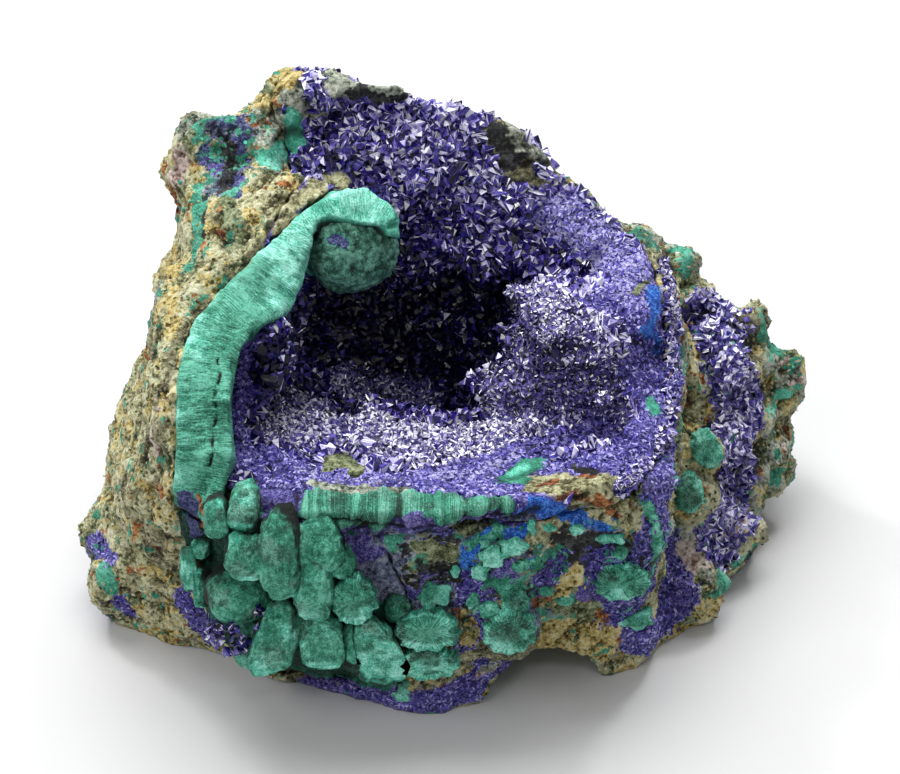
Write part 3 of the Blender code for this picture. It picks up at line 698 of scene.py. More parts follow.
def makeBuds():
    balls = {True: budBall(5), False: budBall(4)}
    places, faces, fibres, pales, lows, start = [], [], [], [], [], 0
    for k, (u, v, halfWide, halfHigh, proud, kind, paleness, lean) in enumerate(buds):
        spec = budKinds[kind]
        seat, normal = seatAt(u, v)
        if seat is None:
            continue
        ball, tris = balls[halfWide * halfHigh > bigBud]
        angle = np.arctan2(ball[:, 1], ball[:, 0])
        flat = np.hypot(ball[:, 0], ball[:, 1])
        out = normal * 0.55 - np.array(rayThrough(u, v)) * 0.45 + np.array([0, 0, -0.1])
        out /= np.linalg.norm(out)
        up = np.cross(out, np.array([1.0, 0, 0]))
        up *= np.sign(up[2]) / np.linalg.norm(up)
        side = np.cross(up, out)
        petals = 1 + spec["cut"] * np.cos(spec["petals"] * angle + k) * ramp(flat, 0.5, 1)
        lumps = fractal(ball + k * 9.1, 0.9, 5 + k, 3) + 0.25 * fractal(ball + k * 2.7, 0.4, 15 + k, 2)
        shape = ball * (petals + spec["lumps"] * lumps)[:, None]
        for part, power in enumerate((spec["square"], spec["square"], spec["face"])):
            shape[:, part] = np.sign(shape[:, part]) * np.abs(shape[:, part]) ** power
        shape[:, 0] = shape[:, 0] * (1 - spec["widen"] * shape[:, 1])
        shape[:, 0] -= lean * (shape[:, 1] - 0.3) * halfHigh / halfWide * 0.5
        local = shape * np.array([halfWide / pixelsPerMm, halfHigh / pixelsPerMm, proud])
        grain = fractal(local + k * 3.3, 0.55, 50 + k, 3)
        radial = smoothNoise(np.stack([angle * 7, flat * 0, flat * 0], axis=1), 1, 3 + k)
        radial = radial * ramp(flat, 0.2, 0.9)
        fanned = spec["fibres"]
        fineRelief = (budRelief["plain"] + budRelief["fanned"] * fanned) * (grain + fanned * radial)
        local += ball * fineRelief[:, None]
        height = local[:, 2:3] - proud * budRelief["sink"]
        place = seat + local[:, :1] * side + local[:, 1:2] * up + height * out
        faces.append(tris + start)
        start += len(ball)
        places.append(place)
        around = angle * 4.2 if fanned > 0.5 else local[:, 0] * 1.3
        fibres.append(np.stack([around, flat * 1.6 + k * 7.3, np.full(len(ball), fanned)], axis=1))
        lip = 1.4 * ramp(-shape[:, 1], 0.6, 0.95) * ramp(ball[:, 2], -0.3, 0.2)
        lip = lip + fanned * ramp(flat, 0.75, 0.98)
        pales.append(np.clip(paleness + 0.4 * lip + 0.6 * fractal(place, 2.2, 77, 4), 0, 1))
        # painted light and shade: each bud is dark at its edge, where it meets the next, and lighter on its
        # crown; it also grows lighter towards its foot
        edge = spec["edge"] * (1 - ramp(ball[:, 2], -0.1, 0.42))
        low = 0.66 + 0.35 * max(0, paleness - 0.75) + 0.14 * ball[:, 2] - 0.12 * ball[:, 1]
        lows.append(np.clip(low - 0.6 * edge + 0.3 * grain, 0, 1))
    points, fibre, pale, depth = (np.concatenate(parts) for parts in (places, fibres, pales, lows))
    data = meshFrom("malachiteBuds", points, np.concatenate(faces))
    share = {kind: np.zeros(len(points)) for kind in minerals}
    share["paleGreen"], share["malachite"] = ramp(pale, 0.35, 1.1), np.ones(len(points))
    # dark green patches, and dark green at the low edges as painted shade
    dark = ramp(fractal(points, 3.4, 66, 3), -0.2, 0.5) * 0.8 + (1 - ramp(depth, 0.15, 0.5))
    share["darkGreen"] = np.clip(dark, 0, 1) * (1 - 0.7 * share["paleGreen"])
    share["rust"] = ramp(fractal(points, 3.2, 99, 3), 0.45, 0.7) * (1 - ramp(depth, 0.2, 0.6))
    storeMinerals(data, share, depth, fibre)
    return addPiece("malachiteBuds", data)


# the thin layer along the top of the front, in mm: where it begins upwards and to the right, its dark line,
# the foot and width of its fans, and how deep the rest of the front lies under the buds
frontStrip = {
    "above": (31.5, 32.6), "rightOf": (-23.5, -22), "line": 34.5, "lineWidth": 0.2,
    "foot": 31.4, "fanWidth": 4.6, "under": 1.0,
}


def finishFront(obj):
    points, normals = pointsOf(obj.data), normalsOf(obj.data)
    strip = ramp(points[:, 2], *frontStrip["above"]) * ramp(points[:, 0], *frontStrip["rightOf"])
    dark = 0.62 - 0.25 * strip + 0.5 * strip * fractal(points, 2.5, 58, 3)
    share = mineralMap(points, {"malachite": np.ones(len(points)), "darkGreen": dark})
    wave = 0.45 * np.abs(np.sin(points[:, 0] * 0.62)) + 0.3 * smoothNoise(points, 2.5, 7)
    height = points[:, 2] - frontStrip["line"] - wave
    line = np.exp(-(height / frontStrip["lineWidth"]) ** 2) * strip
    share["black"] = np.maximum(share["black"], line * 0.8)
    share["paleGreen"] = np.maximum(share["paleGreen"], strip * ramp(points[:, 2], 35.8, 37.2) * 0.15)
    # the strip is a row of fans that open upwards from points along its foot
    fan = np.round(points[:, 0] / frontStrip["fanWidth"] + 0.3 * smoothNoise(points, 6, 39))
    aside, up = points[:, 0] - fan * frontStrip["fanWidth"], points[:, 2] - frontStrip["foot"]
    angle, far = np.arctan2(aside, up) * 4, np.hypot(aside, up)
    rays = fractal(np.stack([angle / 0.6, far / 5, fan * 7], axis=1), 1, 35, 2)
    lift = strip * (0.3 * rays + 0.25 * np.cos(angle) - 0.5 * line + 0.25 * wave)
    green = (1 - strip) * np.clip(share["malachite"] + share["darkGreen"], 0, 1)
    pit = (1 - strip) * 0.5 * fractal(points, 2.4, 55, 4) - frontStrip["under"] * green
    movePoints(obj.data, points + normals * (lift + pit)[:, None])
    fibre = np.stack([angle * 1.5 * strip, (far + fan * 5) * strip, strip], axis=1)
    # depth is lower where the front is green under the buds: painted shade in the recesses behind them
    storeMinerals(obj.data, share, 0.75 - 0.27 * strip + lift * 1.3 - 0.4 * green, fibre)


finishers = {
    "rockSkin": finishRock, "azuriteLining": finishLining,
    "malachiteLayer": finishLayer, "malachiteFront": finishFront,
}
stone = {}
for name in skins:
    stone[name] = skinOf(name)
    finishers[name](stone[name])
    print(name, len(stone[name].data.polygons), "faces")
stone["malachiteBall"] = makeBall()
stone["malachiteBuds"] = makeBuds()
print("malachiteBuds", len(stone["malachiteBuds"].data.polygons), "faces")

# loose grains that cover the skins, in mm: from and to of length, width and thickness, lean from the face it
# grows on, how deep it sits, and least spacing
grainParts = ("length", "width", "thick", "lean", "sink", "spacing")
grainKinds = {
    "coarse": ((1.3, 2.4), (0.85, 1.5), (0.5, 0.95), 1.5, 0.1, 0.74),
    "fine": ((0.6, 1.15), (0.45, 0.8), (0.22, 0.4), 1.5, 0.05, 0.5),
    "flank": ((0.9, 1.8), (0.7, 1.2), (0.45, 0.8), 1.4, 0.1, 0.74),
    "flake": ((0.35, 0.85), (0.28, 0.55), (0.16, 0.32), 0.5, 0.04, 0.43),
    "seam": ((0.7, 1.5), (0.6, 1.1), (0.35, 0.7), 1.0, 0.05, 0.42),
    "crumb": ((0.5, 1.3), (0.4, 1.0), (0.3, 0.7), 0.7, 0.12, 0.84),
}
grainKinds = {kind: dict(zip(grainParts, row)) for kind, row in grainKinds.items()}
# paths in pixels, each with its half width in mm: pale crystals on the ledge, with painted glints and a
# greyer painted sheen
ledgePaths = [
    (5.2, [(300, 405), (350, 392), (410, 405), (470, 425)]),
    (4.6, [(290, 430), (350, 430), (420, 432), (500, 430)]),
    (3.4, [(520, 425), (570, 418), (610, 418)]),
    (3.2, [(395, 450), (440, 452), (480, 448)]),
]
# where small matte flakes take the place of the crystals; the slope at the upper right and the lining at the
# left have tones of their own
slopePath = (4.6, [(560, 215), (595, 238), (625, 262), (640, 285)])
leftPath = (2.6, [(244, 352), (240, 400), (243, 445), (255, 468)])
mattePaths = [
    (3.4, [(262, 455), (300, 470), (345, 482), (400, 480), (450, 478), (500, 465), (540, 450),
        (590, 435), (630, 432)]),
    (5.4, [(520, 486), (560, 476), (600, 465), (640, 455), (650, 490)]),
    slopePath,
    (4.4, [(612, 300), (645, 310), (650, 345), (640, 375)]),
    leftPath,
    (2.6, [(505, 495), (530, 503), (548, 508)]),
    (2.4, [(262, 482), (330, 492), (400, 495), (460, 491), (510, 484)]),
    (3.0, [(650, 395), (655, 430), (648, 450)]),
]
# where crystals stand on the right flank
flankPaths = [
    (5.0, [(712, 290), (722, 312), (733, 345), (738, 380), (742, 410)]),
    (4.6, [(737, 440), (735, 480), (728, 515), (716, 545)]),
]
# where crystals bridge the seam between the lining and the rock, and where some sit on the buds:
# spread in pixels, distance out in mm, path in pixels
seamPaths = [
    (4, 0.1, [(664, 262), (671, 300), (672, 340), (671, 380), (668, 430), (656, 450), (640, 468),
        (625, 482)]),
    (5, 0.3, [(669, 430), (656, 451), (642, 466), (628, 480), (618, 489)]),
    (6, 3.0, [(222, 614), (232, 624), (240, 630)]),
    (4, 3.4, [(246, 604), (250, 610)]),
]
# places of the hollow given painted shade, the first two without pale crystals
shadePaths = [
    (4.5, [(520, 300), (530, 340), (500, 388), (530, 395), (570, 385), (600, 390)]),
    (4.0, [(545, 310), (580, 340), (600, 370)]),
    (3.0, [(265, 345), (275, 375)]),
    (5.0, [(330, 335), (380, 345), (430, 355)]),
    (4.0, [(320, 300), (400, 310), (450, 290)]),
]
# rock along the rim that carries no crystals
barePaths = [
    (3.6, [(345, 84), (375, 86), (408, 90)]),
    (2.6, [(282, 222), (296, 204), (316, 190), (338, 180)]),
]


def zone(points, paths):
    best = np.zeros(len(points))
    for width, pixels in paths:
        best = np.maximum(best, 1 - ramp(distanceToPath(points, seatsAt(pixels)) / width, 0.7, 1.25))
    return best


def sampledFaces(obj, density, random):
    # points strewn over the faces, density of them per square mm, and the faces' normals
    faces = obj.data.polygons
    area = readRows(faces, "area", 1)[:, 0]
    area /= mm * mm
    pick = random.choice(len(faces), size=int(area.sum() * density), p=area / area.sum())
    points, normals = readRows(faces, "center")[pick] / mm, readRows(faces, "normal")[pick]
    slide = random.uniform(-0.45, 0.45, points.shape) * np.sqrt(area[pick])[:, None]
    return points + slide - np.sum(slide * normals, axis=1)[:, None] * normals, normals


def spaced(points, spacing):
    # the points that are left when each keeps its distance from those taken before it
    taken, keep = {}, []
    cells = np.floor(points / spacing.max()).astype(int)
    beside = [(a - 1, b - 1, c - 1) for a, b, c in np.ndindex(3, 3, 3)]
    for k, cell in enumerate(map(tuple, cells)):
        near = [(cell[0] + a, cell[1] + b, cell[2] + c) for a, b, c in beside]
        around = [j for other in near for j in taken.get(other, ())]
        if not around or np.min(np.sum((points[around] - points[k]) ** 2, axis=1)) > spacing[k] ** 2:
            taken.setdefault(cell, []).append(k)
            keep.append(k)
    return np.array(keep, int)


# how far a crystal's corners stray, how far out each cut lies, and from and to of a crumb's radius,
# as shares of the grain's size
grainForm = {"stray": 0.16, "cut": 0.5, "crumb": (0.7, 1.15)}


def crystalShape(random, cuts):
    # a stubby block with slanted ends and cut corners, one unit each way
    bm = bmesh.new()
    bmesh.ops.create_cube(bm, size=1)
    for v in bm.verts:
        v.co += Vector(random.uniform(-grainForm["stray"], grainForm["stray"], 3))
    for away in [v.co.normalized() for v in bm.verts][:cuts * 5:5]:
        whole = bm.verts[:] + bm.edges[:] + bm.faces[:]
        spot = away * grainForm["cut"]
        bmesh.ops.bisect_plane(bm, geom=whole, plane_co=spot, plane_no=away, clear_outer=True)
    bmesh.ops.delete(bm, geom=bm.edges[:], context="EDGES_FACES")
    bmesh.ops.convex_hull(bm, input=bm.verts)
    return trianglesOf(bm)


def crumbShape(random):
    bm = bmesh.new()
    bmesh.ops.create_icosphere(bm, subdivisions=1, radius=0.5)
    for v in bm.verts:
        v.co *= random.uniform(*grainForm["crumb"])
    return trianglesOf(bm)


def trianglesOf(bm):
    bmesh.ops.dissolve_limit(bm, angle_limit=0.03, verts=bm.verts, edges=bm.edges)
    bmesh.ops.triangulate(bm, faces=bm.faces)
    bmesh.ops.recalc_face_normals(bm, faces=bm.faces)
    return cornersAndFaces(bm)


shapeRandom = np.random.default_rng(12)
grainShapes = {
    "crystal": [crystalShape(shapeRandom, 2) for k in range(6)],
    "flake": [crystalShape(shapeRandom, 0) for k in range(6)],
    "crumb": [crumbShape(shapeRandom) for k in range(6)],
}


def scatter(name, kind, points, normals, random, spread=1.0):
    # one mesh of many grains; also gives each vertex's grain, as its place among the points that were kept
    spec = grainKinds[kind]
    shapes = grainShapes.get(kind, grainShapes["crystal"])
    keep = spaced(points, np.ones(len(points)) * spec["spacing"] * spread * coarser["spacing"])
    points, normals = points[keep], normals[keep]
    count = len(points)
    axis = normals + spec["lean"] * random.normal(size=normals.shape) * 0.6
    if kind in ("flake", "crumb"):
        axis = np.cross(axis, random.normal(size=normals.shape))
    axis /= np.linalg.norm(axis, axis=1)[:, None]
    side = np.cross(axis, normals + 0.5 * random.normal(size=normals.shape))
    side /= np.linalg.norm(side, axis=1)[:, None]
    depth = np.cross(axis, side)
    size = np.stack([random.uniform(*spec[part], count) for part in ("width", "thick", "length")], axis=1)
    chosen = random.integers(0, len(shapes), count)
    places, faces, owners, faceOwners, start = [], [], [], [], 0
    for k, (verts, tris) in enumerate(shapes):
        use = np.flatnonzero(chosen == k)
        local = verts[None] * size[use][:, None]
        place = (points - spec["sink"] * normals)[use][:, None] + local[..., :1] * side[use][:, None]
        place = place + local[..., 1:2] * depth[use][:, None] + local[..., 2:] * axis[use][:, None]
        places.append(place.reshape(-1, 3))
        faces.append((tris[None] + start + (np.arange(len(use)) * len(verts))[:, None, None]).reshape(-1, 3))
        owners.append(np.repeat(use, len(verts)))
        faceOwners.append(np.repeat(use, len(tris)))
        start += len(use) * len(verts)
    data = meshFrom(name, np.concatenate(places), np.concatenate(faces))
    print(name, count, "grains,", len(data.polygons), "faces")
    return addPiece(name, data), keep, np.concatenate(owners), np.concatenate(faceOwners)


# how much open sky a place sees: number and seed of the rays, lift from the face in mm, reach in m
skyRays = {"count": 20, "seed": 34, "lift": 0.8, "reach": 0.08}


def openness(points, normals):
    # share of the sky that each place sees
    rays = np.random.default_rng(skyRays["seed"]).normal(size=(skyRays["count"], 3))
    rays /= np.linalg.norm(rays, axis=1)[:, None]
    rays[:, 2] = np.abs(rays[:, 2])
    free = np.zeros(len(points))
    for k, (point, normal) in enumerate(zip(points, normals)):
        start = Vector((point + normal * skyRays["lift"]) * mm)
        clear = [stoneTree.ray_cast(start, Vector(ray), skyRays["reach"])[0] is None for ray in rays]
        free[k] = sum(clear) / len(rays)
    return free


def alongSeams(random):
    points, normals = [], []
    for spread, out, pixels in seamPaths:
        for (u0, v0), (u1, v1) in zip(pixels, pixels[1:]):
            for _ in range(int(math.hypot(u1 - u0, v1 - v0) * spread * 2)):
                t, aside = random.uniform(), random.normal(size=2) * spread * 0.5
                point, normal = seatAt(u0 + t * (u1 - u0) + aside[0], v0 + t * (v1 - v0) + aside[1])
                if point is not None:
                    points.append(point + out * normal)
                    normals.append(normal)
    return np.array(points), np.array(normals)


# tones from 0 to 1: the painted light and shade that the open sky adds to a crystal and from which share of
# it, the most it may have, the change from clump to clump and crystal to crystal, then the facets' own range,
# how many facets flash as painted glints and how much
facetTone = {
    "sky": 1.25, "skyFrom": 0.58, "most": 0.6, "clumps": 0.16, "clumpSize": 3.2, "crystals": 0.16,
    "facets": (-0.46, 0.4), "flashes": 0.14, "flash": 0.6,
}
glintMore = {"most": 0.2, "facets": 0.2, "flashes": 0.1}  # what a glittering crystal has on top


def growCrystals(name, kind, points, normals, random, lightness, glitter=None):
    # every facet gets a tone of its own, with painted shade where little light comes in, and a few facets
    # flash as painted glints
    obj, keep, _, faceOwners = scatter(name, kind, points, normals, random)
    spec = facetTone
    sky = openness(points[keep], normals[keep])
    clumps = fractal(points[keep], spec["clumpSize"], 71, 3)
    glint = np.zeros(len(keep)) if glitter is None else glitter[keep]
    most = spec["most"] + glintMore["most"] * glint
    own = np.minimum(lightness[keep] + spec["sky"] * (sky - spec["skyFrom"]), most)
    own += spec["clumps"] * clumps + random.uniform(-spec["crystals"], spec["crystals"], len(keep))
    shine = glint[faceOwners]
    flash = random.uniform(size=len(faceOwners)) < spec["flashes"] + glintMore["flashes"] * shine
    facets = random.uniform(*spec["facets"], len(faceOwners)) * (1 + glintMore["facets"] * shine)
    tone = own[faceOwners] + facets + spec["flash"] * flash
    store(obj.data, "tone", np.clip(tone, 0, 1), "FACE")
    store(obj.data, "glitter", np.clip(shine, 0, 1), "FACE")
    return obj


def clearOf(points, names):
    # distance in mm from each point to the nearest of the named CAD nodes
    trees = [treeOf([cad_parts[n]]) for n in names]
    return np.array([min(tree.find_nearest(Vector(p * mm))[3] for tree in trees) for p in points]) / mm


# crystals and flakes drawn per square mm, room in mm to the stone's other parts, lightness by place and kind
# (painted light on the higher crystals, painted shade in the deep places of the hollow), and how far a
# crumb's colour may stray in mm
covering = {
    "lining": 8, "rock": 5.5, "clearLining": 0.4, "clearCrystal": 0.9, "clearRock": 0.75,
    "hollow": 0.45, "high": 0.08, "hollowShade": 0.46, "ledge": 0.13, "ledgeMore": 0.3, "glitter": 0.75,
    "seam": 0.4, "onBuds": 0.16, "budsBelow": 25, "flank": 0.48,
    "flake": 0.36, "slopeFlake": 0.47, "leftFlake": 0.28, "lowFlake": 0.2, "stray": 0.7,
}


def coverSkins():
    random = np.random.default_rng(5)
    points, normals = sampledFaces(stone["azuriteLining"], covering["lining"], random)
    clear = clearOf(points, ("host_rock", "malachite_band", "malachite_front"))
    inside = clear > covering["clearLining"]
    points, normals, clear = points[inside], normals[inside], clear[inside]
    blue = bareBlue(mineralMap(points, {"azurite": np.ones(len(points))})) > 0.5
    blue = blue & (zone(points, barePaths) < 0.5)
    points, normals, clear = points[blue], normals[blue], clear[blue]
    ledge, matte = zone(points, ledgePaths + shadePaths[:2]), zone(points, mattePaths)
    bare = (matte > random.uniform(0.1, 1, len(points))) | (clear < covering["clearCrystal"])
    coarse, fine = (ledge < 0.5) & ~bare, (ledge >= 0.3) & ~bare
    # painted light on the higher crystals, painted shade in the hollow's deep places
    light = covering["hollow"] + covering["high"] * ramp(points[:, 2], 40, 50)
    light = light - covering["hollowShade"] * zone(points, shadePaths)
    # painted glints and a greyer painted sheen on the ledge crystals
    glitter = covering["glitter"] * ledge
    fineLight = light[fine] + covering["ledge"] + covering["ledgeMore"] * zone(points[fine], ledgePaths)
    made = []
    for name, kind, use, tone in (
        ("hollowCrystals", "coarse", coarse, light[coarse]), ("ledgeCrystals", "fine", fine, fineLight),
    ):
        made.append(growCrystals(name, kind, points[use], normals[use], random, tone, glitter[use]))
    seams, seamNormals = alongSeams(random)
    tone = np.where(seams[:, 2] > covering["budsBelow"], covering["seam"], covering["onBuds"])
    made.append(growCrystals("seamCrystals", "seam", seams, seamNormals, random, tone))
    flakes = [(points[bare], normals[bare])]
    points, normals = sampledFaces(stone["rockSkin"], covering["rock"], random)
    clear = clearOf(points, ("azurite_crust", "malachite_band", "malachite_front"))
    out = (clear > covering["clearRock"]) & (points[:, 2] > 1.0)
    points, normals = points[out], normals[out]
    seen = seenFrom(points, normals) > -0.2
    column = zone(points, flankPaths) > random.uniform(0.2, 0.9, len(points))
    tone = np.full(column.sum(), covering["flank"])
    made.append(growCrystals("flankCrystals", "flank", points[column], normals[column], random, tone))
    blue = (bareBlue(mineralMap(points, {})) > 0.5) & ~column & seen
    flakes.append((points[blue], normals[blue]))
    spots, away = (np.concatenate(parts) for parts in zip(*flakes))
    tone = covering["flake"] + covering["slopeFlake"] * zone(spots, [slopePath])
    tone = tone + covering["leftFlake"] * zone(spots, [leftPath])
    tone = tone + covering["lowFlake"] * (1 - ramp(spots[:, 2], 10, 22))
    made.append(growCrystals("azuriteFlakes", "flake", spots, away, random, tone))
    rest = ~blue & ~column
    for name, use, spread in (("frontCrumbs", rest & seen, 1.0), ("backCrumbs", rest & ~seen, 1.5)):
        spots, away = points[use], normals[use]
        obj, keep, owners, _ = scatter(name, "crumb", spots, away, random, spread)
        stray = spots[keep] + random.normal(size=(len(keep), 3)) * covering["stray"]
        mix = rockMinerals(stray, away[keep])
        depth = 0.55 + random.uniform(0, 0.4, len(keep))
        storeMinerals(obj.data, {kind: mix[kind][owners] for kind in minerals}, depth[owners])
        stone[name] = obj
    return made


crystals = coverSkins()


class Nodes:
    # short hand for wiring shader nodes
    def __init__(self, name):
        self.material = bpy.data.materials.new(name)
        self.material.use_nodes = True
        self.tree = self.material.node_tree
        self.shader = self.tree.nodes["Principled BSDF"]
        self.place = self.add("ShaderNodeTexCoord").outputs["Object"]

    def add(self, kind, **values):
        node = self.tree.nodes.new(kind)
        for key, value in values.items():
            setattr(node, key, value)
        return node

    def link(self, source, target):
        self.tree.links.new(source, target)

    def fill(self, socket, value):
        if isinstance(value, (int, float)):
            socket.default_value = value
        elif isinstance(value, tuple):
            socket.default_value = (*value, 1)
        elif value is not None:
            self.link(value, socket)

    def attribute(self, name, output="Fac"):
        return self.add("ShaderNodeAttribute", attribute_name=name).outputs[output]

    def noise(self, scale, detail=3.0, rough=0.6, place=None):
        node = self.add("ShaderNodeTexNoise")
        for socket, value in (("Scale", scale), ("Detail", detail), ("Roughness", rough)):
            node.inputs[socket].default_value = value
        self.link(place or self.place, node.inputs["Vector"])
        return node.outputs["Fac"]

    def cells(self, scale):
        node = self.add("ShaderNodeTexVoronoi")
        node.inputs["Scale"].default_value = scale
        self.link(self.place, node.inputs["Vector"])
        return node

    def math(self, operation, *values, clamp=False):
        node = self.add("ShaderNodeMath", operation=operation, use_clamp=clamp)
        for socket, value in zip(node.inputs, values):
            self.fill(socket, value)
        return node.outputs[0]

    def colours(self, factor, stops):
        node = self.add("ShaderNodeValToRGB")
        elements = node.color_ramp.elements
        while len(elements) < len(stops):
            elements.new(0.5)
        for element, (position, colour) in zip(elements, stops):
            element.position, element.color = position, (*colour, 1)
        self.link(factor, node.inputs["Fac"])
        return node.outputs["Color"]

    def mix(self, factor, a, b, blend="MIX"):
        node = self.add("ShaderNodeMix", data_type="RGBA", blend_type=blend)
        for socket, value in ((node.inputs[0], factor), (node.inputs[6], a), (node.inputs[7], b)):
            self.fill(socket, value)
        return node.outputs[2]

    def mixValue(self, factor, a, b):
        node = self.add("ShaderNodeMix", data_type="FLOAT")
        for socket, value in ((node.inputs[0], factor), (node.inputs[2], a), (node.inputs[3], b)):
            self.fill(socket, value)
        return node.outputs[0]

    def relief(self, height, distance, strength):
        bump = self.add("ShaderNodeBump")
        bump.inputs["Distance"].default_value = distance
        self.fill(bump.inputs["Strength"], strength)
        self.link(height, bump.inputs["Height"])
        self.link(bump.outputs["Normal"], self.shader.inputs["Normal"])


# dark, middle and light colour, roughness, strength of the fine relief and sharpness of the patch's edge
finishes = {
    "limonite": ((0.09, 0.083, 0.03), (0.52, 0.51, 0.28), (0.86, 0.85, 0.60), 0.9, 1.0, 5),
    "rockDark": ((0.03, 0.028, 0.014), (0.24, 0.225, 0.12), (0.56, 0.54, 0.35), 0.9, 1.0, 3),
    "greyRock": ((0.04, 0.05, 0.035), (0.36, 0.40, 0.31), (0.74, 0.78, 0.67), 0.85, 1.0, 4),
    "ochre": ((0.12, 0.08, 0.015), (0.72, 0.57, 0.19), (0.90, 0.84, 0.52), 0.9, 1.0, 4),
    "olive": ((0.02, 0.03, 0.012), (0.19, 0.23, 0.10), (0.50, 0.55, 0.34), 0.85, 1.0, 4),
    "pink": ((0.22, 0.13, 0.10), (0.60, 0.47, 0.42), (0.88, 0.78, 0.71), 0.8, 0.8, 4),
    "rust": ((0.05, 0.015, 0.005), (0.38, 0.115, 0.03), (0.68, 0.32, 0.12), 0.85, 1.0, 4),
    "violetRock": ((0.014, 0.018, 0.036), (0.15, 0.18, 0.30), (0.46, 0.50, 0.62), 0.8, 1.0, 4),
    "azurite": ((0.003, 0.002, 0.045), (0.085, 0.068, 0.38), (0.42, 0.39, 0.76), 0.55, 1.0, 6),
    "paleAzurite": ((0.05, 0.038, 0.20), (0.34, 0.32, 0.62), (0.74, 0.72, 0.92), 0.55, 0.9, 3),
    "cobaltDark": ((0.003, 0.004, 0.035), (0.035, 0.045, 0.19), (0.20, 0.24, 0.48), 0.5, 1.0, 5),
    "cobalt": ((0.002, 0.015, 0.12), (0.008, 0.12, 0.68), (0.12, 0.45, 0.98), 0.5, 0.9, 5),
    "malachite": ((0.003, 0.065, 0.038), (0.032, 0.28, 0.175), (0.18, 0.62, 0.45), 0.6, 0.8, 5),
    "darkGreen": ((0.003, 0.02, 0.012), (0.042, 0.19, 0.125), (0.22, 0.55, 0.42), 0.65, 1.0, 1.6),
    "paleGreen": ((0.02, 0.24, 0.15), (0.11, 0.58, 0.41), (0.42, 0.92, 0.78), 0.6, 0.7, 1.6),
    "black": ((0.001, 0.001, 0.001), (0.010, 0.011, 0.012), (0.10, 0.10, 0.10), 0.6, 1.0, 5),
}


# how many a metre of broad blotches, grain, fine grain and pores, which share of the pores is closed, the two
# scales that fray a patch's edge, the most and the colour of the painted shade of low places, depth of the
# relief (m) and refraction
weatheringAndShade = {
    "broad": 330, "grain": 1500, "fine": 4200, "pores": 1150, "closed": 0.68, "edges": (650, 2100),
    "shadeMost": 0.9, "shade": (0.05, 0.05, 0.05), "relief": 0.0006, "bend": 1.45,
}


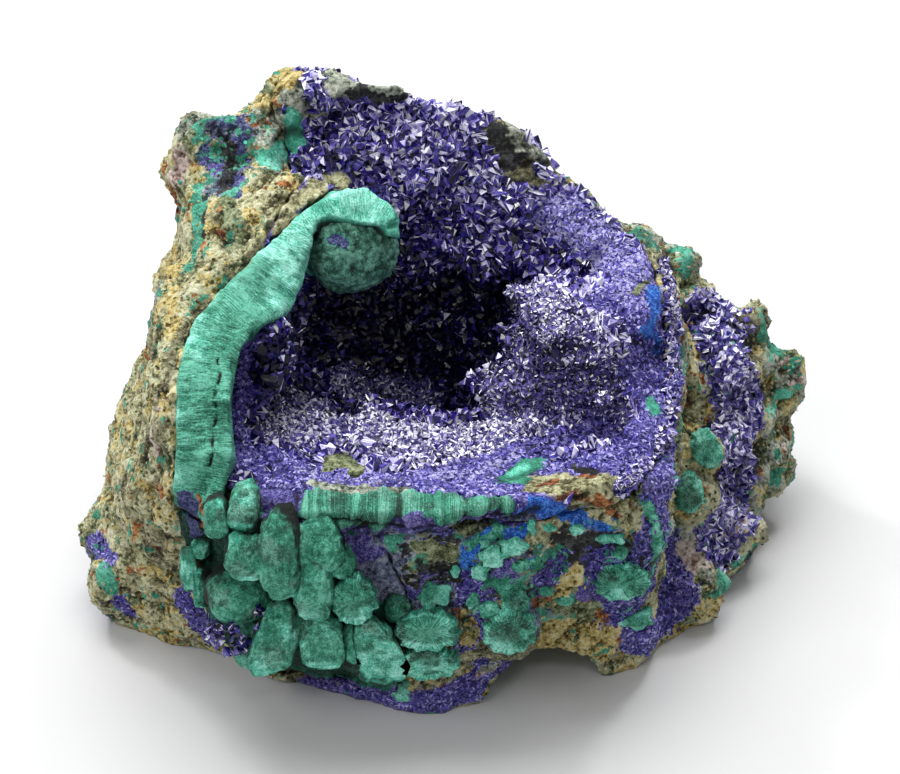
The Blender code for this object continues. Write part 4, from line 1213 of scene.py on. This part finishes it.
def stoneMaterial():
    n = Nodes("mixedMineral")
    spec = weatheringAndShade
    broad, grain = n.noise(spec["broad"], 3, 0.6), n.noise(spec["grain"], 6, 0.78)
    fine = n.noise(spec["fine"], 2, 0.6)
    pores = n.cells(spec["pores"])
    poreKind = n.add("ShaderNodeSeparateColor")
    n.link(pores.outputs["Color"], poreKind.inputs[0])
    hole = n.math("MULTIPLY_ADD", pores.outputs["Distance"], -5.0, 2.1, clamp=True)
    hole = n.math("MULTIPLY", hole, n.math("GREATER_THAN", poreKind.outputs["Red"], spec["closed"]))
    fibre = n.add("ShaderNodeSeparateXYZ")
    n.link(n.attribute("fibre", "Vector"), fibre.inputs[0])
    lines = n.add("ShaderNodeCombineXYZ")
    n.link(n.math("MULTIPLY", fibre.outputs["X"], 7.0), lines.inputs["X"])
    n.link(n.math("MULTIPLY", fibre.outputs["Y"], 0.5), lines.inputs["Y"])
    threads = n.noise(1.0, 4, 0.65, lines.outputs["Vector"])
    fibrous = fibre.outputs["Z"]
    depth = n.attribute("depth")
    # the grain that colours the rock is the one that gives its relief, so the low spots are dark, and depth
    # darkens the pits further: painted shade; the pores are darkened as painted shade too
    spread = n.math("MULTIPLY_ADD", grain, 3.2, -1.6)
    tint = n.math("MULTIPLY_ADD", broad, 1.3, -0.65)
    rockTone = n.math("ADD", n.math("ADD", spread, tint), n.math("MULTIPLY_ADD", depth, 0.9, -0.1))
    rockTone = n.math("SUBTRACT", rockTone, n.math("MULTIPLY", hole, 0.55), clamp=True)
    blotch = n.math("ADD", n.math("MULTIPLY", spread, 0.38), n.math("MULTIPLY", tint, 0.85))
    greenTone = n.math("ADD", blotch, n.math("MULTIPLY_ADD", fine, 1.2, -0.6))
    # painted shade: the green is darker where depth is low
    greenTone = n.math("ADD", greenTone, n.math("MULTIPLY_ADD", depth, 0.9, -0.14))
    threadTone = n.math("MULTIPLY", n.math("MULTIPLY_ADD", threads, 2.6, -1.3), fibrous)
    greenTone = n.math("ADD", greenTone, threadTone, clamp=True)
    # painted sparkle: the blue's grain is stretched into light and dark specks, and depth adds painted shade
    # in the low spots
    sparkle = n.math("ADD", n.math("MULTIPLY", grain, 0.7), n.math("MULTIPLY", fine, 0.4))
    sparkle = n.math("MULTIPLY_ADD", sparkle, 4.0, -1.9)
    blueTone = n.math("ADD", sparkle, n.math("MULTIPLY", depth, 0.3), clamp=True)
    tones = dict.fromkeys(("azurite", "paleAzurite", "cobalt", "cobaltDark"), blueTone)
    tones.update(dict.fromkeys(("malachite", "paleGreen", "darkGreen"), greenTone))
    coarseEdge, fineEdge = spec["edges"]
    ragged = n.math("MULTIPLY", n.noise(coarseEdge, 3, 0.6), 0.55)
    ragged = n.math("ADD", ragged, n.math("MULTIPLY", n.noise(fineEdge, 3, 0.7), 0.45))
    ragged = n.math("MULTIPLY_ADD", ragged, 2.4, -1.2)
    colour, rough, strength = None, 0.9, 1.0
    for kind, (dark, middle, light, roughness, relief, sharp) in finishes.items():
        own = n.colours(tones.get(kind, rockTone), [(0.08, dark), (0.5, middle), (0.92, light)])
        if colour is None:
            colour = own
            continue
        amount = n.attribute(kind)
        cover = n.math("ADD", amount, n.math("MULTIPLY", ragged, 0.8))
        cover = n.math("MULTIPLY_ADD", cover, sharp, 0.5 - sharp * 0.5, clamp=True)
        cover = n.math("MULTIPLY", cover, n.math("MULTIPLY", amount, 8.0, clamp=True))
        colour, rough = n.mix(cover, colour, own), n.mixValue(cover, rough, roughness)
        strength = n.mixValue(cover, strength, relief)
    # painted shade: low places are darkened towards grey-black in the mineral's own hue
    shade = n.math("MULTIPLY_ADD", depth, -2.4, 1.1, clamp=True)
    colour = n.mix(n.math("MULTIPLY", shade, spec["shadeMost"]), colour, spec["shade"], "MULTIPLY")
    n.link(colour, n.shader.inputs["Base Color"])
    n.link(rough, n.shader.inputs["Roughness"])
    n.shader.inputs["IOR"].default_value = spec["bend"]
    height = n.math("ADD", n.math("MULTIPLY", grain, 1.4), n.math("MULTIPLY", fine, 0.4))
    height = n.math("SUBTRACT", height, n.math("MULTIPLY", hole, 0.35))
    height = n.math("ADD", height, n.math("MULTIPLY", n.math("MULTIPLY", threads, fibrous), 0.9))
    n.relief(height, spec["relief"], strength)
    return n.material


def crystalMaterial(name, stops, glints, rough, bend):
    n = Nodes(name)
    value = n.math("ADD", n.attribute("tone"), n.math("MULTIPLY_ADD", n.noise(1500, 3, 0.6), 0.5, -0.25))
    colour = n.mix(n.attribute("glitter"), n.colours(value, stops), n.colours(value, glints))
    n.link(colour, n.shader.inputs["Base Color"])
    n.shader.inputs["Roughness"].default_value = rough
    n.shader.inputs["IOR"].default_value = bend
    n.relief(n.noise(2600, 2, 0.5), 0.00005, 0.6)
    return n.material


mineral = stoneMaterial()
for name, obj in stone.items():
    obj.data.materials.clear()
    obj.data.materials.append(mineral)
    obj.data.polygons.foreach_set("use_smooth", [not name.endswith("Crumbs")] * len(obj.data.polygons))
# how the facets' tones turn into colour: violet ones, the greyer ones with a painted sheen that glitter, and
# the flakes; the lightest stops of the first two are painted glints
facetColours = [
    (0.1, (0.001, 0.001, 0.012)), (0.34, (0.006, 0.003, 0.09)), (0.54, (0.036, 0.024, 0.26)),
    (0.76, (0.15, 0.12, 0.44)), (0.97, (0.74, 0.72, 0.86)),
]
glintColours = [
    (0.1, (0.001, 0.001, 0.008)), (0.36, (0.007, 0.005, 0.04)), (0.56, (0.05, 0.042, 0.16)),
    (0.76, (0.24, 0.22, 0.38)), (0.95, (0.78, 0.76, 0.85)),
]
flakeColours = [
    (0.05, (0.002, 0.001, 0.035)), (0.26, (0.007, 0.004, 0.12)), (0.48, (0.042, 0.032, 0.28)),
    (0.70, (0.13, 0.11, 0.45)), (0.94, (0.38, 0.36, 0.69)),
]
# roughness and refraction
surfaces = {"glassy": {"rough": 0.2, "bend": 1.65}, "matte": {"rough": 0.5, "bend": 1.4}}
glassy = crystalMaterial("azuriteCrystal", facetColours, glintColours, **surfaces["glassy"])
matte = crystalMaterial("azuriteFlake", flakeColours, flakeColours, **surfaces["matte"])
for obj in crystals:
    obj.data.materials.append(matte if obj.name == "azuriteFlakes" else glassy)
print("materials made")

# colour, roughness and half size (m) of the floor, strength of the light all round, where the lamps aim (m)
studio = {"floor": (0.55, 0.55, 0.555), "rough": 0.6, "size": 1.5, "room": 0.27, "aim": (0, 0, 0.03)}
# where each light stands (m), its size (m) and power (W)
lights = {
    "softTop": {"at": (-0.08, 0.30, 0.72), "size": (0.8, 0.5), "power": 8.0},
    "softFront": {"at": (-0.45, -0.40, 0.6), "size": (0.5, 0.4), "power": 2.8},
    "sparkLeft": {"at": (-0.35, 0.40, 0.55), "size": (0.10, 0.10), "power": 1.6},
    "sparkRight": {"at": (0.30, 0.45, 0.60), "size": (0.10, 0.10), "power": 1.6},
    "sparkFront": {"at": (0.10, -0.50, 0.70), "size": (0.08, 0.08), "power": 0.5},
}


def makeStudio():
    bm = bmesh.new()
    bmesh.ops.create_grid(bm, x_segments=1, y_segments=1, size=studio["size"])
    floor = newObject("paleFloor", meshOf("paleFloor", bm))
    n = Nodes("palePaper")
    n.shader.inputs["Base Color"].default_value = (*studio["floor"], 1)
    n.shader.inputs["Roughness"].default_value = studio["rough"]
    floor.data.materials.append(n.material)
    world = bpy.data.worlds.new("softRoom")
    world.use_nodes = True
    world.node_tree.nodes["Background"].inputs["Color"].default_value = (1, 1, 1, 1)
    world.node_tree.nodes["Background"].inputs["Strength"].default_value = studio["room"]
    bpy.context.scene.world = world
    for name, spec in lights.items():
        lamp = bpy.data.lights.new(name, "AREA")
        lamp.shape = "RECTANGLE"
        lamp.size, lamp.size_y = spec["size"]
        lamp.energy = spec["power"]
        obj = newObject(name, lamp)
        obj.location = spec["at"]
        aim = Vector(studio["aim"]) - Vector(spec["at"])
        obj.rotation_euler = aim.to_track_quat("-Z", "Y").to_euler()
    bpy.context.scene.view_settings.view_transform = "Standard"


makeStudio()
print("floor and light made")
